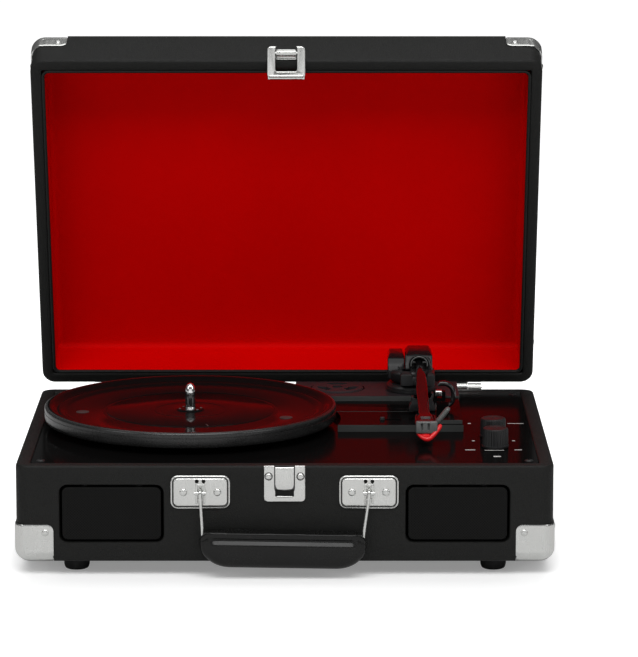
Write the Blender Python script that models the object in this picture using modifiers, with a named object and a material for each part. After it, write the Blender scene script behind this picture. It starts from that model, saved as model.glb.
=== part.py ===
"""Suitcase record player: a leatherette case with a hinged lid, a belt-driven
turntable deck, a tonearm, speakers, a catch and a carrying handle.

Layout: X to the right, Y to the back, Z up, metres. The origin is on the floor
under the middle of the whole object as it stands open. Sizes below are in
millimetres, measured from the middle of the front face (x), from the front
face (y) and from the floor (z), and are turned into metres by at()."""
import math

import bmesh
import bpy
from mathutils import Matrix, Vector

MM = 0.001

# ---- driving dimensions, millimetres ---------------------------------------
CASE_W = 355.6            # width of case and lid
CASE_D = 258.0            # depth of case and lid
MID_Y = 142.1             # y of the origin, the middle of the open object
FOOT_H = 10.0             # underside of the case above the floor
CASE_TOP = 74.7           # rim of the base
CASE_WALL = 9.5
CASE_FLOOR = 6.0
CORNER_R = 9.0            # vertical corners of case and lid
LID_GAP = 0.5             # between the two rims when shut
LID_H = 42.0
LID_WALL = 7.6
LID_ROOF = 3.2
LINER_T = 1.2
GAP = 0.3                 # between pieces that lie against each other
OPEN_DEG = 71.0           # how far the lid stands open
HINGE_Y = CASE_D + 3.7    # hinge axis behind the back wall
HINGE_Z = CASE_TOP + 0.75
HINGE_X = 126.0
DECK_Z = 74.2             # top of the deck plate
DECK_T = 2.8
LOW_Z = 79.0              # lower step of the raised platform
HIGH_Z = 82.5             # upper step
PAD_Z = 81.5              # pad under the arm
STEP_Y0, STEP_Y1, STEP_Y2 = 110.0, 193.0, 246.0
STEP_X1 = 122.0
PLATTER_X, PLATTER_Y = -66.3, 132.0
PLATTER_R = 100.8
PLATTER_TOP = 90.0
PLATTER_BOT = 79.3
DRIVE_R = 45.0            # ring under the platter that the belt runs on
SPINDLE_R = 3.6           # the standard record hole takes a 7.2 mm spindle
MOTOR_X, MOTOR_Y = PLATTER_X + 46.0, PLATTER_Y + 62.0
PULLEY_R = 5.2
BELT_T = 0.7
PIVOT_X, PIVOT_Y = 88.5, 216.0
ARM_X, ARM_Z = 94.0, 102.0
KNOB_X, KNOB_Y1, KNOB_Y2 = 141.5, 60.0, 93.0
KNOB_R, KNOB_H = 9.1, 13.5
SPEAKER_X, SPEAKER_Z = 114.3, 42.4
GRILLE_W, GRILLE_H = 68.5, 38.5
BRACKET_X, BRACKET_Z = 55.6, 57.3
HANDLE_Y = -4.6           # axis of the handle wires
HASP_Y, HASP_UP = -5.8, 0.5   # hasp axis: in front of the lid wall, above its rim

# ---- collections and helpers ------------------------------------------------
for old in list(bpy.data.objects):
    bpy.data.objects.remove(old, do_unlink=True)

parts = bpy.data.collections.new("suitcase_record_player")
guides = bpy.data.collections.new("cutters")
bpy.context.scene.collection.children.link(parts)
bpy.context.scene.collection.children.link(guides)


def at(x, y, z):
    """A point of the layout as a world position in metres."""
    return Vector((x * MM, (y - MID_Y) * MM, z * MM))


def material(name, colour, roughness, metallic=0.0):
    m = bpy.data.materials.new(name)
    m.use_nodes = True
    shader = m.node_tree.nodes["Principled BSDF"]
    shader.inputs["Base Color"].default_value = (*colour, 1.0)
    shader.inputs["Roughness"].default_value = roughness
    shader.inputs["Metallic"].default_value = metallic
    return m


LEATHERETTE = ((0.012, 0.012, 0.013), 0.62, 0.0)
BLACK_GLOSS = ((0.006, 0.006, 0.007), 0.12, 0.0)
BLACK_SATIN = ((0.012, 0.012, 0.013), 0.4, 0.0)
GRILLE_BLACK = ((0.008, 0.008, 0.008), 0.8, 0.0)
RUBBER = ((0.01, 0.01, 0.01), 0.75, 0.0)
NICKEL = ((0.72, 0.72, 0.70), 0.25, 1.0)
CHROME = ((0.8, 0.8, 0.8), 0.12, 1.0)
RED = ((0.42, 0.0, 0.003), 0.5, 0.0)
RED_PLASTIC = ((0.6, 0.01, 0.01), 0.3, 0.0)
GREY_PLASTIC = ((0.25, 0.25, 0.25), 0.4, 0.0)
STEEL = ((0.5, 0.5, 0.5), 0.35, 1.0)
BRASS = ((0.6, 0.42, 0.18), 0.35, 1.0)
BOARD = ((0.02, 0.12, 0.05), 0.5, 0.0)


def add(name, mesh, position=(0, 0, 0), finish=None, parent=None, turn=(0, 0, 0), guide=False):
    obj = bpy.data.objects.new(name, mesh)
    (guides if guide else parts).objects.link(obj)
    obj.parent = parent
    obj.location = position
    obj.rotation_euler = turn
    if guide:
        obj.hide_render = True
        obj.display_type = "WIRE"
    elif finish:
        mesh.materials.append(material(name, *finish))
    return obj


def empty(name, position, parent=None, turn=(0, 0, 0)):
    obj = bpy.data.objects.new(name, None)
    obj.empty_display_size = 0.02
    parts.objects.link(obj)
    obj.parent = parent
    obj.location = position
    obj.rotation_euler = turn
    return obj


def bevel(obj, width, segments=2, angle=30.0):
    m = obj.modifiers.new("Bevel", "BEVEL")
    m.width = width * MM
    m.segments = segments
    m.limit_method = "ANGLE"
    m.angle_limit = math.radians(angle)
    return obj


def boolean(obj, other, operation):
    m = obj.modifiers.new(operation.title(), "BOOLEAN")
    m.operation = operation
    m.solver = "EXACT"
    m.object = other
    return obj


def cut(obj, *others):
    for other in others:
        boolean(obj, other, "DIFFERENCE")
    return obj


def join(obj, *others):
    for other in others:
        boolean(obj, other, "UNION")
    return obj


def smooth(obj, angle=35.0):
    obj.data.shade_smooth()
    obj.data.set_sharp_from_angle(angle=math.radians(angle))
    return obj


def box_mesh(name, size):
    bm = bmesh.new()
    bmesh.ops.create_cube(bm, size=1.0)
    bmesh.ops.scale(bm, vec=[s * MM for s in size], verts=bm.verts)
    mesh = bpy.data.meshes.new(name)
    bm.to_mesh(mesh)
    bm.free()
    return mesh


def box(name, x, y, z, finish=None, parent=None, origin=None, guide=False):
    """A block between two limits on each axis, in layout millimetres."""
    size = [b - a for a, b in (x, y, z)]
    mid = [(a + b) / 2 for a, b in (x, y, z)]
    position = at(*mid) if origin is None else (Vector(mid) - Vector(origin)) * MM
    return add(name, box_mesh(name, size), position, finish, parent, guide=guide)


def rod_mesh(name, radius, length, segments=24, radius2=None):
    bm = bmesh.new()
    bmesh.ops.create_cone(bm, cap_ends=True, segments=segments, radius1=radius * MM,
                          radius2=(radius if radius2 is None else radius2) * MM, depth=length * MM)
    mesh = bpy.data.meshes.new(name)
    bm.to_mesh(mesh)
    bm.free()
    return mesh


ALONG_X = (0, math.pi / 2, 0)
ALONG_Y = (math.pi / 2, 0, 0)


def rounded(w, h, r, steps=4):
    """Outline of a rectangle with round corners, counter-clockwise, centred."""
    out = []
    for cx, cy, start in ((w / 2 - r, h / 2 - r, 0), (-w / 2 + r, h / 2 - r, 90),
                          (-w / 2 + r, -h / 2 + r, 180), (w / 2 - r, -h / 2 + r, 270)):
        for i in range(steps + 1):
            a = math.radians(start + 90.0 * i / steps)
            out.append((cx + r * math.cos(a), cy + r * math.sin(a)))
    return out


def circle(r, steps=32, cx=0.0, cy=0.0):
    return [(cx + r * math.cos(2 * math.pi * i / steps), cy + r * math.sin(2 * math.pi * i / steps))
            for i in range(steps)]


def plate_mesh(name, outlines, thickness):
    """A flat outline, with any further outlines as holes, as a closed mesh."""
    curve = bpy.data.curves.new(name, "CURVE")
    curve.dimensions = "2D"
    curve.fill_mode = "BOTH"
    curve.extrude = thickness * MM / 2
    for outline in outlines:
        s = curve.splines.new("POLY")
        s.points.add(len(outline) - 1)
        for p, (px, py) in zip(s.points, outline):
            p.co = (px * MM, py * MM, 0, 1)
        s.use_cyclic_u = True
    holder = bpy.data.objects.new(name + "_outline", curve)
    guides.objects.link(holder)
    depsgraph = bpy.context.evaluated_depsgraph_get()
    mesh = bpy.data.meshes.new_from_object(holder.evaluated_get(depsgraph))
    bpy.data.objects.remove(holder, do_unlink=True)
    bpy.data.curves.remove(curve)
    bm = bmesh.new()
    bm.from_mesh(mesh)
    bmesh.ops.remove_doubles(bm, verts=bm.verts, dist=0.000001)
    bmesh.ops.recalc_face_normals(bm, faces=bm.faces)
    bm.to_mesh(mesh)
    bm.free()
    mesh.name = name
    return mesh


FACING_FRONT = (math.pi / 2, 0, 0)


def turned(name, profile, position, finish=None, steps=32, ring=False, parent=None, turn=(0, 0, 0), guide=False):
    """A solid of revolution about its own Z from (radius, height) points that
    run down the outer side. A ring's profile closes on itself."""
    mesh = bpy.data.meshes.new(name)
    n = len(profile)
    edges = [(i, i + 1) for i in range(n - 1)] + ([(n - 1, 0)] if ring else [])
    mesh.from_pydata([(r * MM, 0, z * MM) for r, z in profile], edges, [])
    obj = add(name, mesh, position, finish, parent, turn, guide)
    m = obj.modifiers.new("Screw", "SCREW")
    m.axis = "Z"
    m.angle = 2 * math.pi
    m.steps = steps
    m.render_steps = steps
    m.use_merge_vertices = True
    m.merge_threshold = 0.00001
    m.use_smooth_shade = True
    return obj


def wire(name, points, radius, position, finish, parent=None, resolution=2):
    curve = bpy.data.curves.new(name, "CURVE")
    curve.dimensions = "3D"
    curve.bevel_depth = radius * MM
    curve.bevel_resolution = resolution
    curve.use_fill_caps = True
    s = curve.splines.new("POLY")
    s.points.add(len(points) - 1)
    for p, co in zip(s.points, points):
        p.co = (co[0] * MM, co[1] * MM, co[2] * MM, 1)
    curve.materials.append(material(name, *finish))
    obj = bpy.data.objects.new(name, curve)
    parts.objects.link(obj)
    obj.parent = parent
    obj.location = position
    return obj


# ---- base case --------------------------------------------------------------
def whole_box(name, grow, z0, z1, r, parent=None, origin=None):
    """The outside of the case or lid, grown all round, with every edge round."""
    obj = box(name, (-CASE_W / 2 - grow, CASE_W / 2 + grow), (-grow, CASE_D + grow),
              (z0 - grow, z1 + grow), parent=parent, origin=origin, guide=True)
    return bevel(obj, r + grow, 4)


def corner_zone(name, sx, sy, z0, z1, span, parent=None, origin=None):
    x = (CASE_W / 2 - span, CASE_W / 2 + 5) if sx > 0 else (-CASE_W / 2 - 5, -CASE_W / 2 + span)
    y = (-5, span) if sy < 0 else (CASE_D - span, CASE_D + 5)
    return box(name, x, y, (z0, z1), parent=parent, origin=origin, guide=True)


base_case = add("base_case", plate_mesh("base_case", [rounded(CASE_W, CASE_D, CORNER_R, 4)], CASE_TOP - FOOT_H),
                at(0, CASE_D / 2, (CASE_TOP + FOOT_H) / 2), LEATHERETTE)
bevel(base_case, 0.8, 1, 60)
inner = (CASE_W - 2 * CASE_WALL, CASE_D - 2 * CASE_WALL)
cavity = add("case_cavity", plate_mesh("case_cavity", [rounded(*inner, 4.0, 2)], 80.0),
             at(0, CASE_D / 2, FOOT_H + CASE_FLOOR + 40.0), guide=True)
cut(base_case, cavity)
for sx in (-1, 1):
    for sy, py in ((-1, CASE_WALL + 6.0), (1, CASE_D - CASE_WALL - 6.0)):
        post = box("screw_post", (sx * (CASE_W / 2 - CASE_WALL - 6.0) - 7, sx * (CASE_W / 2 - CASE_WALL - 6.0) + 7),
                   (py - 7, py + 7), (FOOT_H + 2, DECK_Z - DECK_T - GAP), guide=True)
        join(base_case, post)
# the four bottom corners are rounded off under their metal protectors
rounded_body = whole_box("case_rounding", -0.06, FOOT_H, CASE_TOP + 30, CORNER_R)
for i, (sx, sy) in enumerate(((-1, -1), (1, -1), (-1, 1), (1, 1))):
    offcut = cut(corner_zone("corner_offcut_%d" % i, sx, sy, FOOT_H - 5, FOOT_H + 25.4, 25.4), rounded_body)
    cut(base_case, offcut)
for sx in (-1, 1):
    pocket = add("grille_pocket", plate_mesh("grille_pocket", [rounded(GRILLE_W, GRILLE_H, 5, 3)], 8.0),
                 at(sx * SPEAKER_X, -0.9, SPEAKER_Z), guide=True, turn=FACING_FRONT)
    mouth = add("speaker_mouth", plate_mesh("speaker_mouth", [rounded(GRILLE_W - 8, GRILLE_H - 8, 4, 3)], 30.0),
                at(sx * SPEAKER_X, 5.0, SPEAKER_Z), guide=True, turn=FACING_FRONT)
    cut(base_case, pocket, mouth)
jack_pocket = box("jack_pocket", (-46, 46), (CASE_D - 2.2, CASE_D + 5), (30, 58), guide=True)
jack_mouth = box("jack_mouth", (-41, 41), (CASE_D - 20, CASE_D + 5), (34, 54), guide=True)
cut(base_case, jack_pocket, jack_mouth)
smooth(base_case)

# ---- deck plate with its raised platform ------------------------------------
deck_w, deck_d = inner[0] - 2 * GAP, inner[1] - 2 * GAP
deck_plate = add("deck_plate", plate_mesh("deck_plate", [rounded(deck_w, deck_d, 3.8, 2)], DECK_T),
                 at(0, CASE_D / 2, DECK_Z - DECK_T / 2), BLACK_GLOSS)


def platform_outline(y0, y1):
    """From the arc round the platter to the right-hand edge."""
    r = 104.2
    left = []
    for i in range(9):
        y = y0 + (y1 - y0) * i / 8
        reach = r * r - (y - PLATTER_Y) ** 2
        x = PLATTER_X + math.sqrt(reach) if reach > 0 else 6.0
        left.append((max(x, 6.0), y))
    return left + [(STEP_X1, y1), (STEP_X1, y0)]


def layout_plate(name, outline, z0, z1, holes=(), **kw):
    """A plate whose outline is given in layout millimetres."""
    mesh = plate_mesh(name, [[(px, py - CASE_D / 2) for px, py in o] for o in [outline, *holes]], z1 - z0)
    return add(name, mesh, at(0, CASE_D / 2, (z0 + z1) / 2), **kw)


low_step = layout_plate("low_step", platform_outline(STEP_Y0, STEP_Y1 + 4), DECK_Z - 1.2, LOW_Z, guide=True)
high_step = layout_plate("high_step", platform_outline(STEP_Y1, STEP_Y2), DECK_Z - 1.4, HIGH_Z, guide=True)
pad_step = box("pad_step", (90.0, STEP_X1 - 0.6), (STEP_Y0 + 5, STEP_Y1 + 3), (DECK_Z - 1.6, PAD_Z), guide=True)
join(deck_plate, low_step, high_step, pad_step)
ADAPTER_X, ADAPTER_Y, ADAPTER_R = 36.0, 223.0, 19.0
for name, x, y, r, z0, z1 in (
        ("spindle_hole", PLATTER_X, PLATTER_Y, 6.3, 60, 90),
        ("pulley_hole", MOTOR_X, MOTOR_Y, 4.0, 60, 90),
        ("adapter_recess", ADAPTER_X, ADAPTER_Y, ADAPTER_R + 0.5, HIGH_Z - 3.0, 90),
        ("volume_hole", KNOB_X, KNOB_Y1, 3.4, 60, 90),
        ("pitch_hole", KNOB_X, KNOB_Y2, 3.4, 60, 90)):
    cut(deck_plate, add(name, rod_mesh(name, r, z1 - z0, 24), at(x, y, (z0 + z1) / 2), guide=True))
SPEED_X, SPEED_Y = 82.0, 171.0
STOP_X, STOP_Y = 72.0, 128.0
for name, x, y in (("speed_slot", SPEED_X, SPEED_Y), ("autostop_slot", STOP_X, STOP_Y)):
    cut(deck_plate, box(name, (x - 7.5, x + 7.5), (y - 1.6, y + 1.6), (60, 90), guide=True))
cut(deck_plate, box("step_groove", (30, 89), (155.4, 156.6), (LOW_Z - 0.8, 90), guide=True))
smooth(deck_plate)

# ---- speakers and grilles ---------------------------------------------------
for side, sx in (("left", -1), ("right", 1)):
    grille = add(side + "_speaker_grille",
                 plate_mesh(side + "_speaker_grille", [rounded(GRILLE_W - 3, GRILLE_H - 3, 3.8, 3)], 2.4),
                 at(sx * SPEAKER_X, 1.6, SPEAKER_Z), GRILLE_BLACK, turn=FACING_FRONT)
    driver = turned(side + "_speaker",
                    [(0, 3.5), (8, 3.0), (22, -3.0), (24.3, -3.0), (26.0, -2.8), (26.0, -4.6), (23.8, -5.0), (15, 10.0),
                     (15.5, 10.0), (15.5, 20.0), (0, 20.0)][::-1],
                    at(sx * SPEAKER_X, CASE_WALL + 5.0, SPEAKER_Z), BLACK_SATIN, 24, turn=(-math.pi / 2, 0, 0))
    smooth(driver)

# ---- protectors, feet -------------------------------------------------------
inside_skin = whole_box("protector_inside", GAP, FOOT_H, CASE_TOP + 30, CORNER_R)
outside_skin = whole_box("protector_outside", GAP + 0.9, FOOT_H, CASE_TOP + 30, CORNER_R)
for name, sx, sy in (("front_left", -1, -1), ("front_right", 1, -1), ("back_left", -1, 1), ("back_right", 1, 1)):
    zone = box_mesh(name + "_base_corner", (30, 30, 30))
    span = 25.0
    piece = add(name + "_base_corner", zone,
                at(sx * (CASE_W / 2 - span + 15), -15 + span if sy < 0 else CASE_D - span + 15, FOOT_H - 5 + 15), NICKEL)
    boolean(piece, outside_skin, "INTERSECT")
    cut(piece, inside_skin)
    smooth(piece)
    foot = turned(name + "_foot", [(0, FOOT_H - GAP), (8.6, FOOT_H - GAP), (9.2, FOOT_H - 1.6), (8.6, 3.0), (7.6, 0.8),
                                   (6.2, 0.0), (0, 0.0)],
                  at(sx * 139.0, 24.0 if sy < 0 else CASE_D - 24.0, 0), RUBBER, 20)

# ---- catch on the base ------------------------------------------------------
latch_plate = add("latch_plate", plate_mesh("latch_plate",
                  [[(-13.65, 24.6), (-13.65, 2.6), (-12.9, 0.8), (-11.0, 0), (11.0, 0), (12.9, 0.8), (13.65, 2.6), (13.65, 24.6)]],
                  1.0), at(0, -0.8, 49.9), NICKEL, turn=FACING_FRONT)
cut(latch_plate, box("latch_slot", (-5.2, 5.2), (-5, 3), (52.9, 58.0), guide=True))
for sx in (-1, 1):
    join(latch_plate, add("latch_screw", rod_mesh("latch_screw", 2.5, 1.6, 16, 1.5), at(sx * 10.5, -1.8, 67.6),
                          guide=True, turn=FACING_FRONT))
latch_tongue = add("latch_tongue", plate_mesh("latch_tongue",
                   [[(-6.1, 0), (-6.1, -12.8), (-4.9, -15.0), (-3.0, -15.8), (3.0, -15.8), (4.9, -15.0), (6.1, -12.8), (6.1, 0)]],
                   1.2), at(0, -3.0, 73.4), NICKEL, turn=FACING_FRONT)

# ---- handle -----------------------------------------------------------------
for side, sx in (("left", -1), ("right", 1)):
    bracket = add(side + "_handle_bracket", plate_mesh(side + "_handle_bracket", [rounded(39.5, 22.6, 4.5, 3)], 1.2),
                  at(sx * BRACKET_X, -0.9, BRACKET_Z), NICKEL, turn=FACING_FRONT)
    for dx in (-11.2, 11.2):
        join(bracket, add("bracket_rivet", rod_mesh("bracket_rivet", 2.9, 1.8, 16, 1.6),
                          at(sx * BRACKET_X + dx, -2.0, BRACKET_Z), guide=True, turn=FACING_FRONT))
    # two ears hold the wire's eye
    for dx in (-3.4, 3.4):
        join(bracket, box("bracket_ear", (sx * BRACKET_X + dx - 0.7, sx * BRACKET_X + dx + 0.7), (HANDLE_Y - 1.9, -1.0),
                          (BRACKET_Z - 2.6, BRACKET_Z + 2.6), guide=True))

handle_axis = empty("handle_axis", at(0, HANDLE_Y, BRACKET_Z))
GRIP_TOP = 32.0
SOCKET_X = 53.0            # where the wires enter the grip, from its middle
GRIP_X = -1.0              # the grip hangs slightly off centre
for side, sx in (("left", -1), ("right", 1)):
    eye = BRACKET_X * sx
    pts = [(eye, 1.6, 0.0), (eye, 0.8, 1.4), (eye, -0.8, 1.4), (eye, -1.6, 0.0), (eye * 0.998, -1.2, -2.5),
           (eye * 0.995, -0.4, -6.0), ((eye + GRIP_X + sx * SOCKET_X) / 2, -1.8, -14.0), (GRIP_X + sx * SOCKET_X, -3.4, -22.0),
           (GRIP_X + sx * SOCKET_X, -3.4, GRIP_TOP - BRACKET_Z - 3.2)]
    wire(side + "_handle_bail", pts, 1.1, (0, 0, 0), NICKEL, handle_axis)
grip = add("handle_grip", plate_mesh("handle_grip",
           [[(-54.6, 0), (-55.2, -1.2), (-55.2, -8.5), (-51.5, -14.5), (-45.0, -20.0), (-39.5, -23.4), (-36.0, -24.4),
             (36.0, -24.4), (39.5, -23.4), (45.0, -20.0), (51.5, -14.5), (55.2, -8.5), (55.2, -1.2), (54.6, 0)]], 15.0),
           (GRIP_X * MM, -3.4 * MM, (GRIP_TOP - BRACKET_Z) * MM), BLACK_SATIN, handle_axis, FACING_FRONT)
bevel(grip, 5.0, 3, 40)
for sx in (-1, 1):
    cut(grip, add("grip_socket", rod_mesh("grip_socket", 1.5, 9.0, 12), ((GRIP_X + sx * SOCKET_X) * MM, -3.4 * MM,
                  (GRIP_TOP - BRACKET_Z) * MM), parent=handle_axis, guide=True))
smooth(grip)

# ---- sockets at the back, electronics ---------------------------------------
jack_panel = add("rear_jack_panel", plate_mesh("rear_jack_panel",
                 [rounded(91.2, 27.2, 2, 2), circle(5.4, 16, 30, 0)], 1.6),
                 at(0, CASE_D - 1.0, 44), BLACK_SATIN, turn=FACING_FRONT)
for x, r in ((-33, 4.2), (-18, 4.2), (-3, 3.2), (12, 3.2)):
    join(jack_panel, add("jack_collar", rod_mesh("jack_collar", r, 4.6, 16), at(x, CASE_D + 0.4, 44), guide=True, turn=ALONG_Y))
    cut(jack_panel, add("jack_bore", rod_mesh("jack_bore", r - 1.6, 12, 16), at(x, CASE_D, 44), guide=True, turn=ALONG_Y))
dc_inlet = turned("dc_inlet", [(3.2, 1.6), (5.0, 1.6), (5.0, -9.0), (0, -9.0), (0, -6.0), (3.2, -6.0)],
                  at(30, CASE_D, 44), BLACK_SATIN, 16, ring=True, turn=(-math.pi / 2, 0, 0))
circuit_board = box("circuit_board", (60, 158), (150, 226), (24, 26), BOARD)
for name, x, y, w, h in (("cap_a", 80, 170, 6, 10), ("cap_b", 96, 170, 6, 14), ("chip", 125, 195, 9, 5)):
    join(circuit_board, box(name, (x - w, x + w), (y - w, y + w), (25, 26 + h), guide=True))

# ---- spindle, bearing, platter ----------------------------------------------
spindle = turned("spindle", [(0, 104.2), (1.6, 103.8), (2.9, 102.2), (SPINDLE_R, 99.5), (SPINDLE_R, 62.0), (0, 62.0)],
                 at(PLATTER_X, PLATTER_Y, 0), CHROME, 24)
bearing = turned("spindle_bearing", [(6.0, 78.0), (6.0, 71.2), (9.0, 71.2), (9.0, 66.0), (SPINDLE_R + GAP, 66.0),
                                     (SPINDLE_R + GAP, 78.0)],
                 at(PLATTER_X, PLATTER_Y, 0), BRASS, 24, ring=True)
hub = SPINDLE_R + 0.35
platter = turned("platter", [
    (hub, 86.2), (9.0, 86.2), (10.0, 85.4), (86.5, 85.4), (88.0, 87.0), (92.0, 87.0), (94.0, 88.6), (97.0, PLATTER_TOP),
    (99.2, PLATTER_TOP), (PLATTER_R, 88.6), (PLATTER_R, 81.0), (99.6, PLATTER_BOT), (97.6, PLATTER_BOT),
    (97.6, 82.2), (DRIVE_R, 82.2), (DRIVE_R, 76.4), (DRIVE_R - 2.6, 76.4), (DRIVE_R - 2.6, 82.2), (9.0, 82.2),
    (9.0, 78.4), (hub, 78.4)],
    at(PLATTER_X, PLATTER_Y, 0), BLACK_GLOSS, 56, ring=True)
smooth(platter, 30)

# ---- motor, pulley, belt ----------------------------------------------------
motor = turned("motor", [(0, 80.0), (1.0, 80.0), (1.0, 70.9), (3.2, 70.9), (3.2, 69.6), (16.0, 69.6), (16.0, 44.0), (0, 44.0)],
               at(MOTOR_X, MOTOR_Y, 0), STEEL, 24)
pulley = turned("motor_pulley", [(PULLEY_R + 0.5, 81.4), (PULLEY_R + 0.5, 80.8), (PULLEY_R, 80.6), (PULLEY_R, 77.0),
                                 (PULLEY_R + 0.5, 76.8), (PULLEY_R + 0.5, 76.0), (3.4, 76.0), (3.4, 75.4), (1.3, 75.4),
                                 (1.3, 81.4)],
                at(MOTOR_X, MOTOR_Y, 0), BRASS, 20, ring=True)


def belt_loop(r1, r2, distance):
    """Two wheels and the straight runs between them, counter-clockwise."""
    lean = math.acos((r1 - r2) / distance)
    out = []
    for i in range(25):
        a = lean + (2 * math.pi - 2 * lean) * i / 24
        out.append((r1 * math.cos(a), r1 * math.sin(a)))
    for i in range(9):
        a = -lean + 2 * lean * i / 8
        out.append((distance + r2 * math.cos(a), r2 * math.sin(a)))
    return out


reach = math.hypot(MOTOR_X - PLATTER_X, MOTOR_Y - PLATTER_Y)
BELT_GAP = 0.75
drive_belt = add("drive_belt", plate_mesh("drive_belt", [
    belt_loop(DRIVE_R + BELT_GAP + BELT_T, PULLEY_R + BELT_GAP + BELT_T, reach),
    belt_loop(DRIVE_R + BELT_GAP, PULLEY_R + BELT_GAP, reach)], 3.2),
    at(PLATTER_X, PLATTER_Y, 78.8), RUBBER, turn=(0, 0, math.atan2(MOTOR_Y - PLATTER_Y, MOTOR_X - PLATTER_X)))

# ---- adapter for large-hole records -----------------------------------------
adapter = turned("adapter_45", [(3.9, HIGH_Z + 0.9), (17.6, HIGH_Z + 0.9), (ADAPTER_R - 0.3, HIGH_Z + 0.1),
                                (ADAPTER_R - 0.3, HIGH_Z - 2.6), (3.9, HIGH_Z - 2.6)],
                 at(ADAPTER_X, ADAPTER_Y, 0), BLACK_SATIN, 28, ring=True)
for i in range(3):
    a = math.radians(90 + 120 * i)
    window = add("adapter_window", plate_mesh("adapter_window", [
        [(rr * math.cos(math.radians(t)), rr * math.sin(math.radians(t))) for rr, ts in
         ((14.5, (-34, -17, 0, 17, 34)), (8.0, (26, 0, -26))) for t in ts]], 12.0),
        at(ADAPTER_X, ADAPTER_Y, HIGH_Z), guide=True, turn=(0, 0, a))
    cut(adapter, window)

# ---- tonearm ----------------------------------------------------------------
tonearm_base = turned("tonearm_base", [(2.0, 88.4), (16.0, 88.4), (17.9, 86.6), (17.9, HIGH_Z + GAP), (2.0, HIGH_Z + GAP)],
                      at(PIVOT_X, PIVOT_Y, 0), BLACK_SATIN, 32, ring=True)
swing_axis = empty("tonearm_swing_axis", at(PIVOT_X, PIVOT_Y, 0))


def from_pivot(x, y, z):
    return ((x - PIVOT_X) * MM, (y - PIVOT_Y) * MM, z * MM)


# the turning block: a waisted foot, a tall housing at the right, a lower shoulder at the left
yoke = turned("tonearm_yoke", [(0, 98.5), (16.4, 98.5), (16.9, 96.0), (15.6, 91.5), (13.5, 88.9), (1.6, 88.9), (1.6, 84.0),
                               (0, 84.0)], (0, 0, 0), BLACK_SATIN, 28, parent=swing_axis)
origin = (PIVOT_X, PIVOT_Y, 0)
ARM_PIVOT_Z = 102.6
housing = box("housing", (83.7, 103.4), (207.5, 233.5), (92.5, 111.9), parent=swing_axis, origin=origin, guide=True)
bevel(housing, 3.2, 2)
shoulder = box("shoulder", (71.6, 85.0), (208.5, 232.5), (93.5, 110.2), parent=swing_axis, origin=origin, guide=True)
bevel(shoulder, 2.2, 2)
apron = box("apron", (80.4, 104.8), (194.5, 212.0), (89.4, 98.4), parent=swing_axis, origin=origin, guide=True)
bevel(apron, 1.6, 1)
channel = box("arm_channel", (ARM_X - 5.2, ARM_X + 5.2), (190.0, 224.0), (96.6, 109.4), parent=swing_axis, origin=origin,
              guide=True)
join(yoke, housing, shoulder, apron)
cut(yoke, channel)
smooth(yoke)

lift_axis = empty("tonearm_lift_axis", from_pivot(ARM_X, PIVOT_Y, ARM_PIVOT_Z), swing_axis)


def from_lift(x, y, z):
    return ((x - ARM_X) * MM, (y - PIVOT_Y) * MM, (z - ARM_PIVOT_Z) * MM)


HEAD_Y, HEAD_Z = 88.0, 87.2        # back of the headshell
tube_points = [(ARM_X, 219.0, ARM_PIVOT_Z), (ARM_X, 200.0, ARM_PIVOT_Z - 0.2), (ARM_X + 0.3, 178.0, 99.6),
               (ARM_X + 0.6, 150.0, 95.4), (ARM_X + 0.8, 118.0, 90.6), (ARM_X + 0.9, HEAD_Y - 4.0, HEAD_Z)]
tonearm_tube = add("tonearm_tube", box_mesh("tonearm_tube", (9.0, 17.0, 8.2)), from_lift(ARM_X, 211.5, ARM_PIVOT_Z),
                   BLACK_SATIN, lift_axis)
bevel(tonearm_tube, 2.0, 2)


def arm_section(y, z, w, h, n=10):
    return [Vector(from_lift(ARM_X + (203 - y) * 0.007 + w * math.cos(2 * math.pi * i / n), y,
                             z + h * math.sin(2 * math.pi * i / n))) for i in range(n)]


def loft(name, sections):
    """Rings of equal length joined into a closed tube, front to back."""
    bm = bmesh.new()
    rings = [[bm.verts.new(p) for p in ring] for ring in sections]
    n = len(rings[0])
    for a, b in zip(rings, rings[1:]):
        for i in range(n):
            bm.faces.new((a[i], a[(i + 1) % n], b[(i + 1) % n], b[i]))
    bm.faces.new(rings[0][::-1])
    bm.faces.new(rings[-1])
    bmesh.ops.recalc_face_normals(bm, faces=bm.faces)
    mesh = bpy.data.meshes.new(name)
    bm.to_mesh(mesh)
    bm.free()
    return mesh


arm_bar = add("arm_bar", loft("arm_bar", [
    arm_section(206.0, 102.6, 3.9, 3.6), arm_section(190.0, 101.4, 3.9, 3.4), arm_section(165.0, 97.8, 3.6, 3.1),
    arm_section(130.0, 92.8, 3.4, 2.8), arm_section(100.0, 88.9, 3.4, 2.6), arm_section(84.0, 87.4, 3.6, 2.6)]),
    (0, 0, 0), parent=lift_axis, guide=True)
join(tonearm_tube, arm_bar)
headshell = add("headshell", plate_mesh("headshell", [
    [(-6.8, 0.0), (-7.4, 20.0), (-4.4, 27.0), (4.6, 27.0), (7.6, 20.0), (7.2, 0.0), (3.0, -1.6), (-3.0, -1.6)]], 4.2),
    from_lift(ARM_X + 0.9, 66.0, 87.6), parent=lift_axis, guide=True)
join(tonearm_tube, headshell)
finger = add("finger_lift", plate_mesh("finger_lift", [
    [(0, -1.2), (6.0, -1.2), (10.5, 1.6), (16.0, 9.6), (14.4, 10.8), (9.0, 3.6), (5.4, 1.0), (0, 1.0)]], 4.0),
    from_lift(ARM_X + 3.2, 77.0, 87.8), parent=lift_axis, guide=True, turn=FACING_FRONT)
join(tonearm_tube, finger)
smooth(tonearm_tube)
pivot_pin = add("tonearm_pivot_pin", rod_mesh("tonearm_pivot_pin", 1.0, 15.4, 12), from_pivot(ARM_X, PIVOT_Y, ARM_PIVOT_Z),
                STEEL, swing_axis, ALONG_X)
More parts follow.
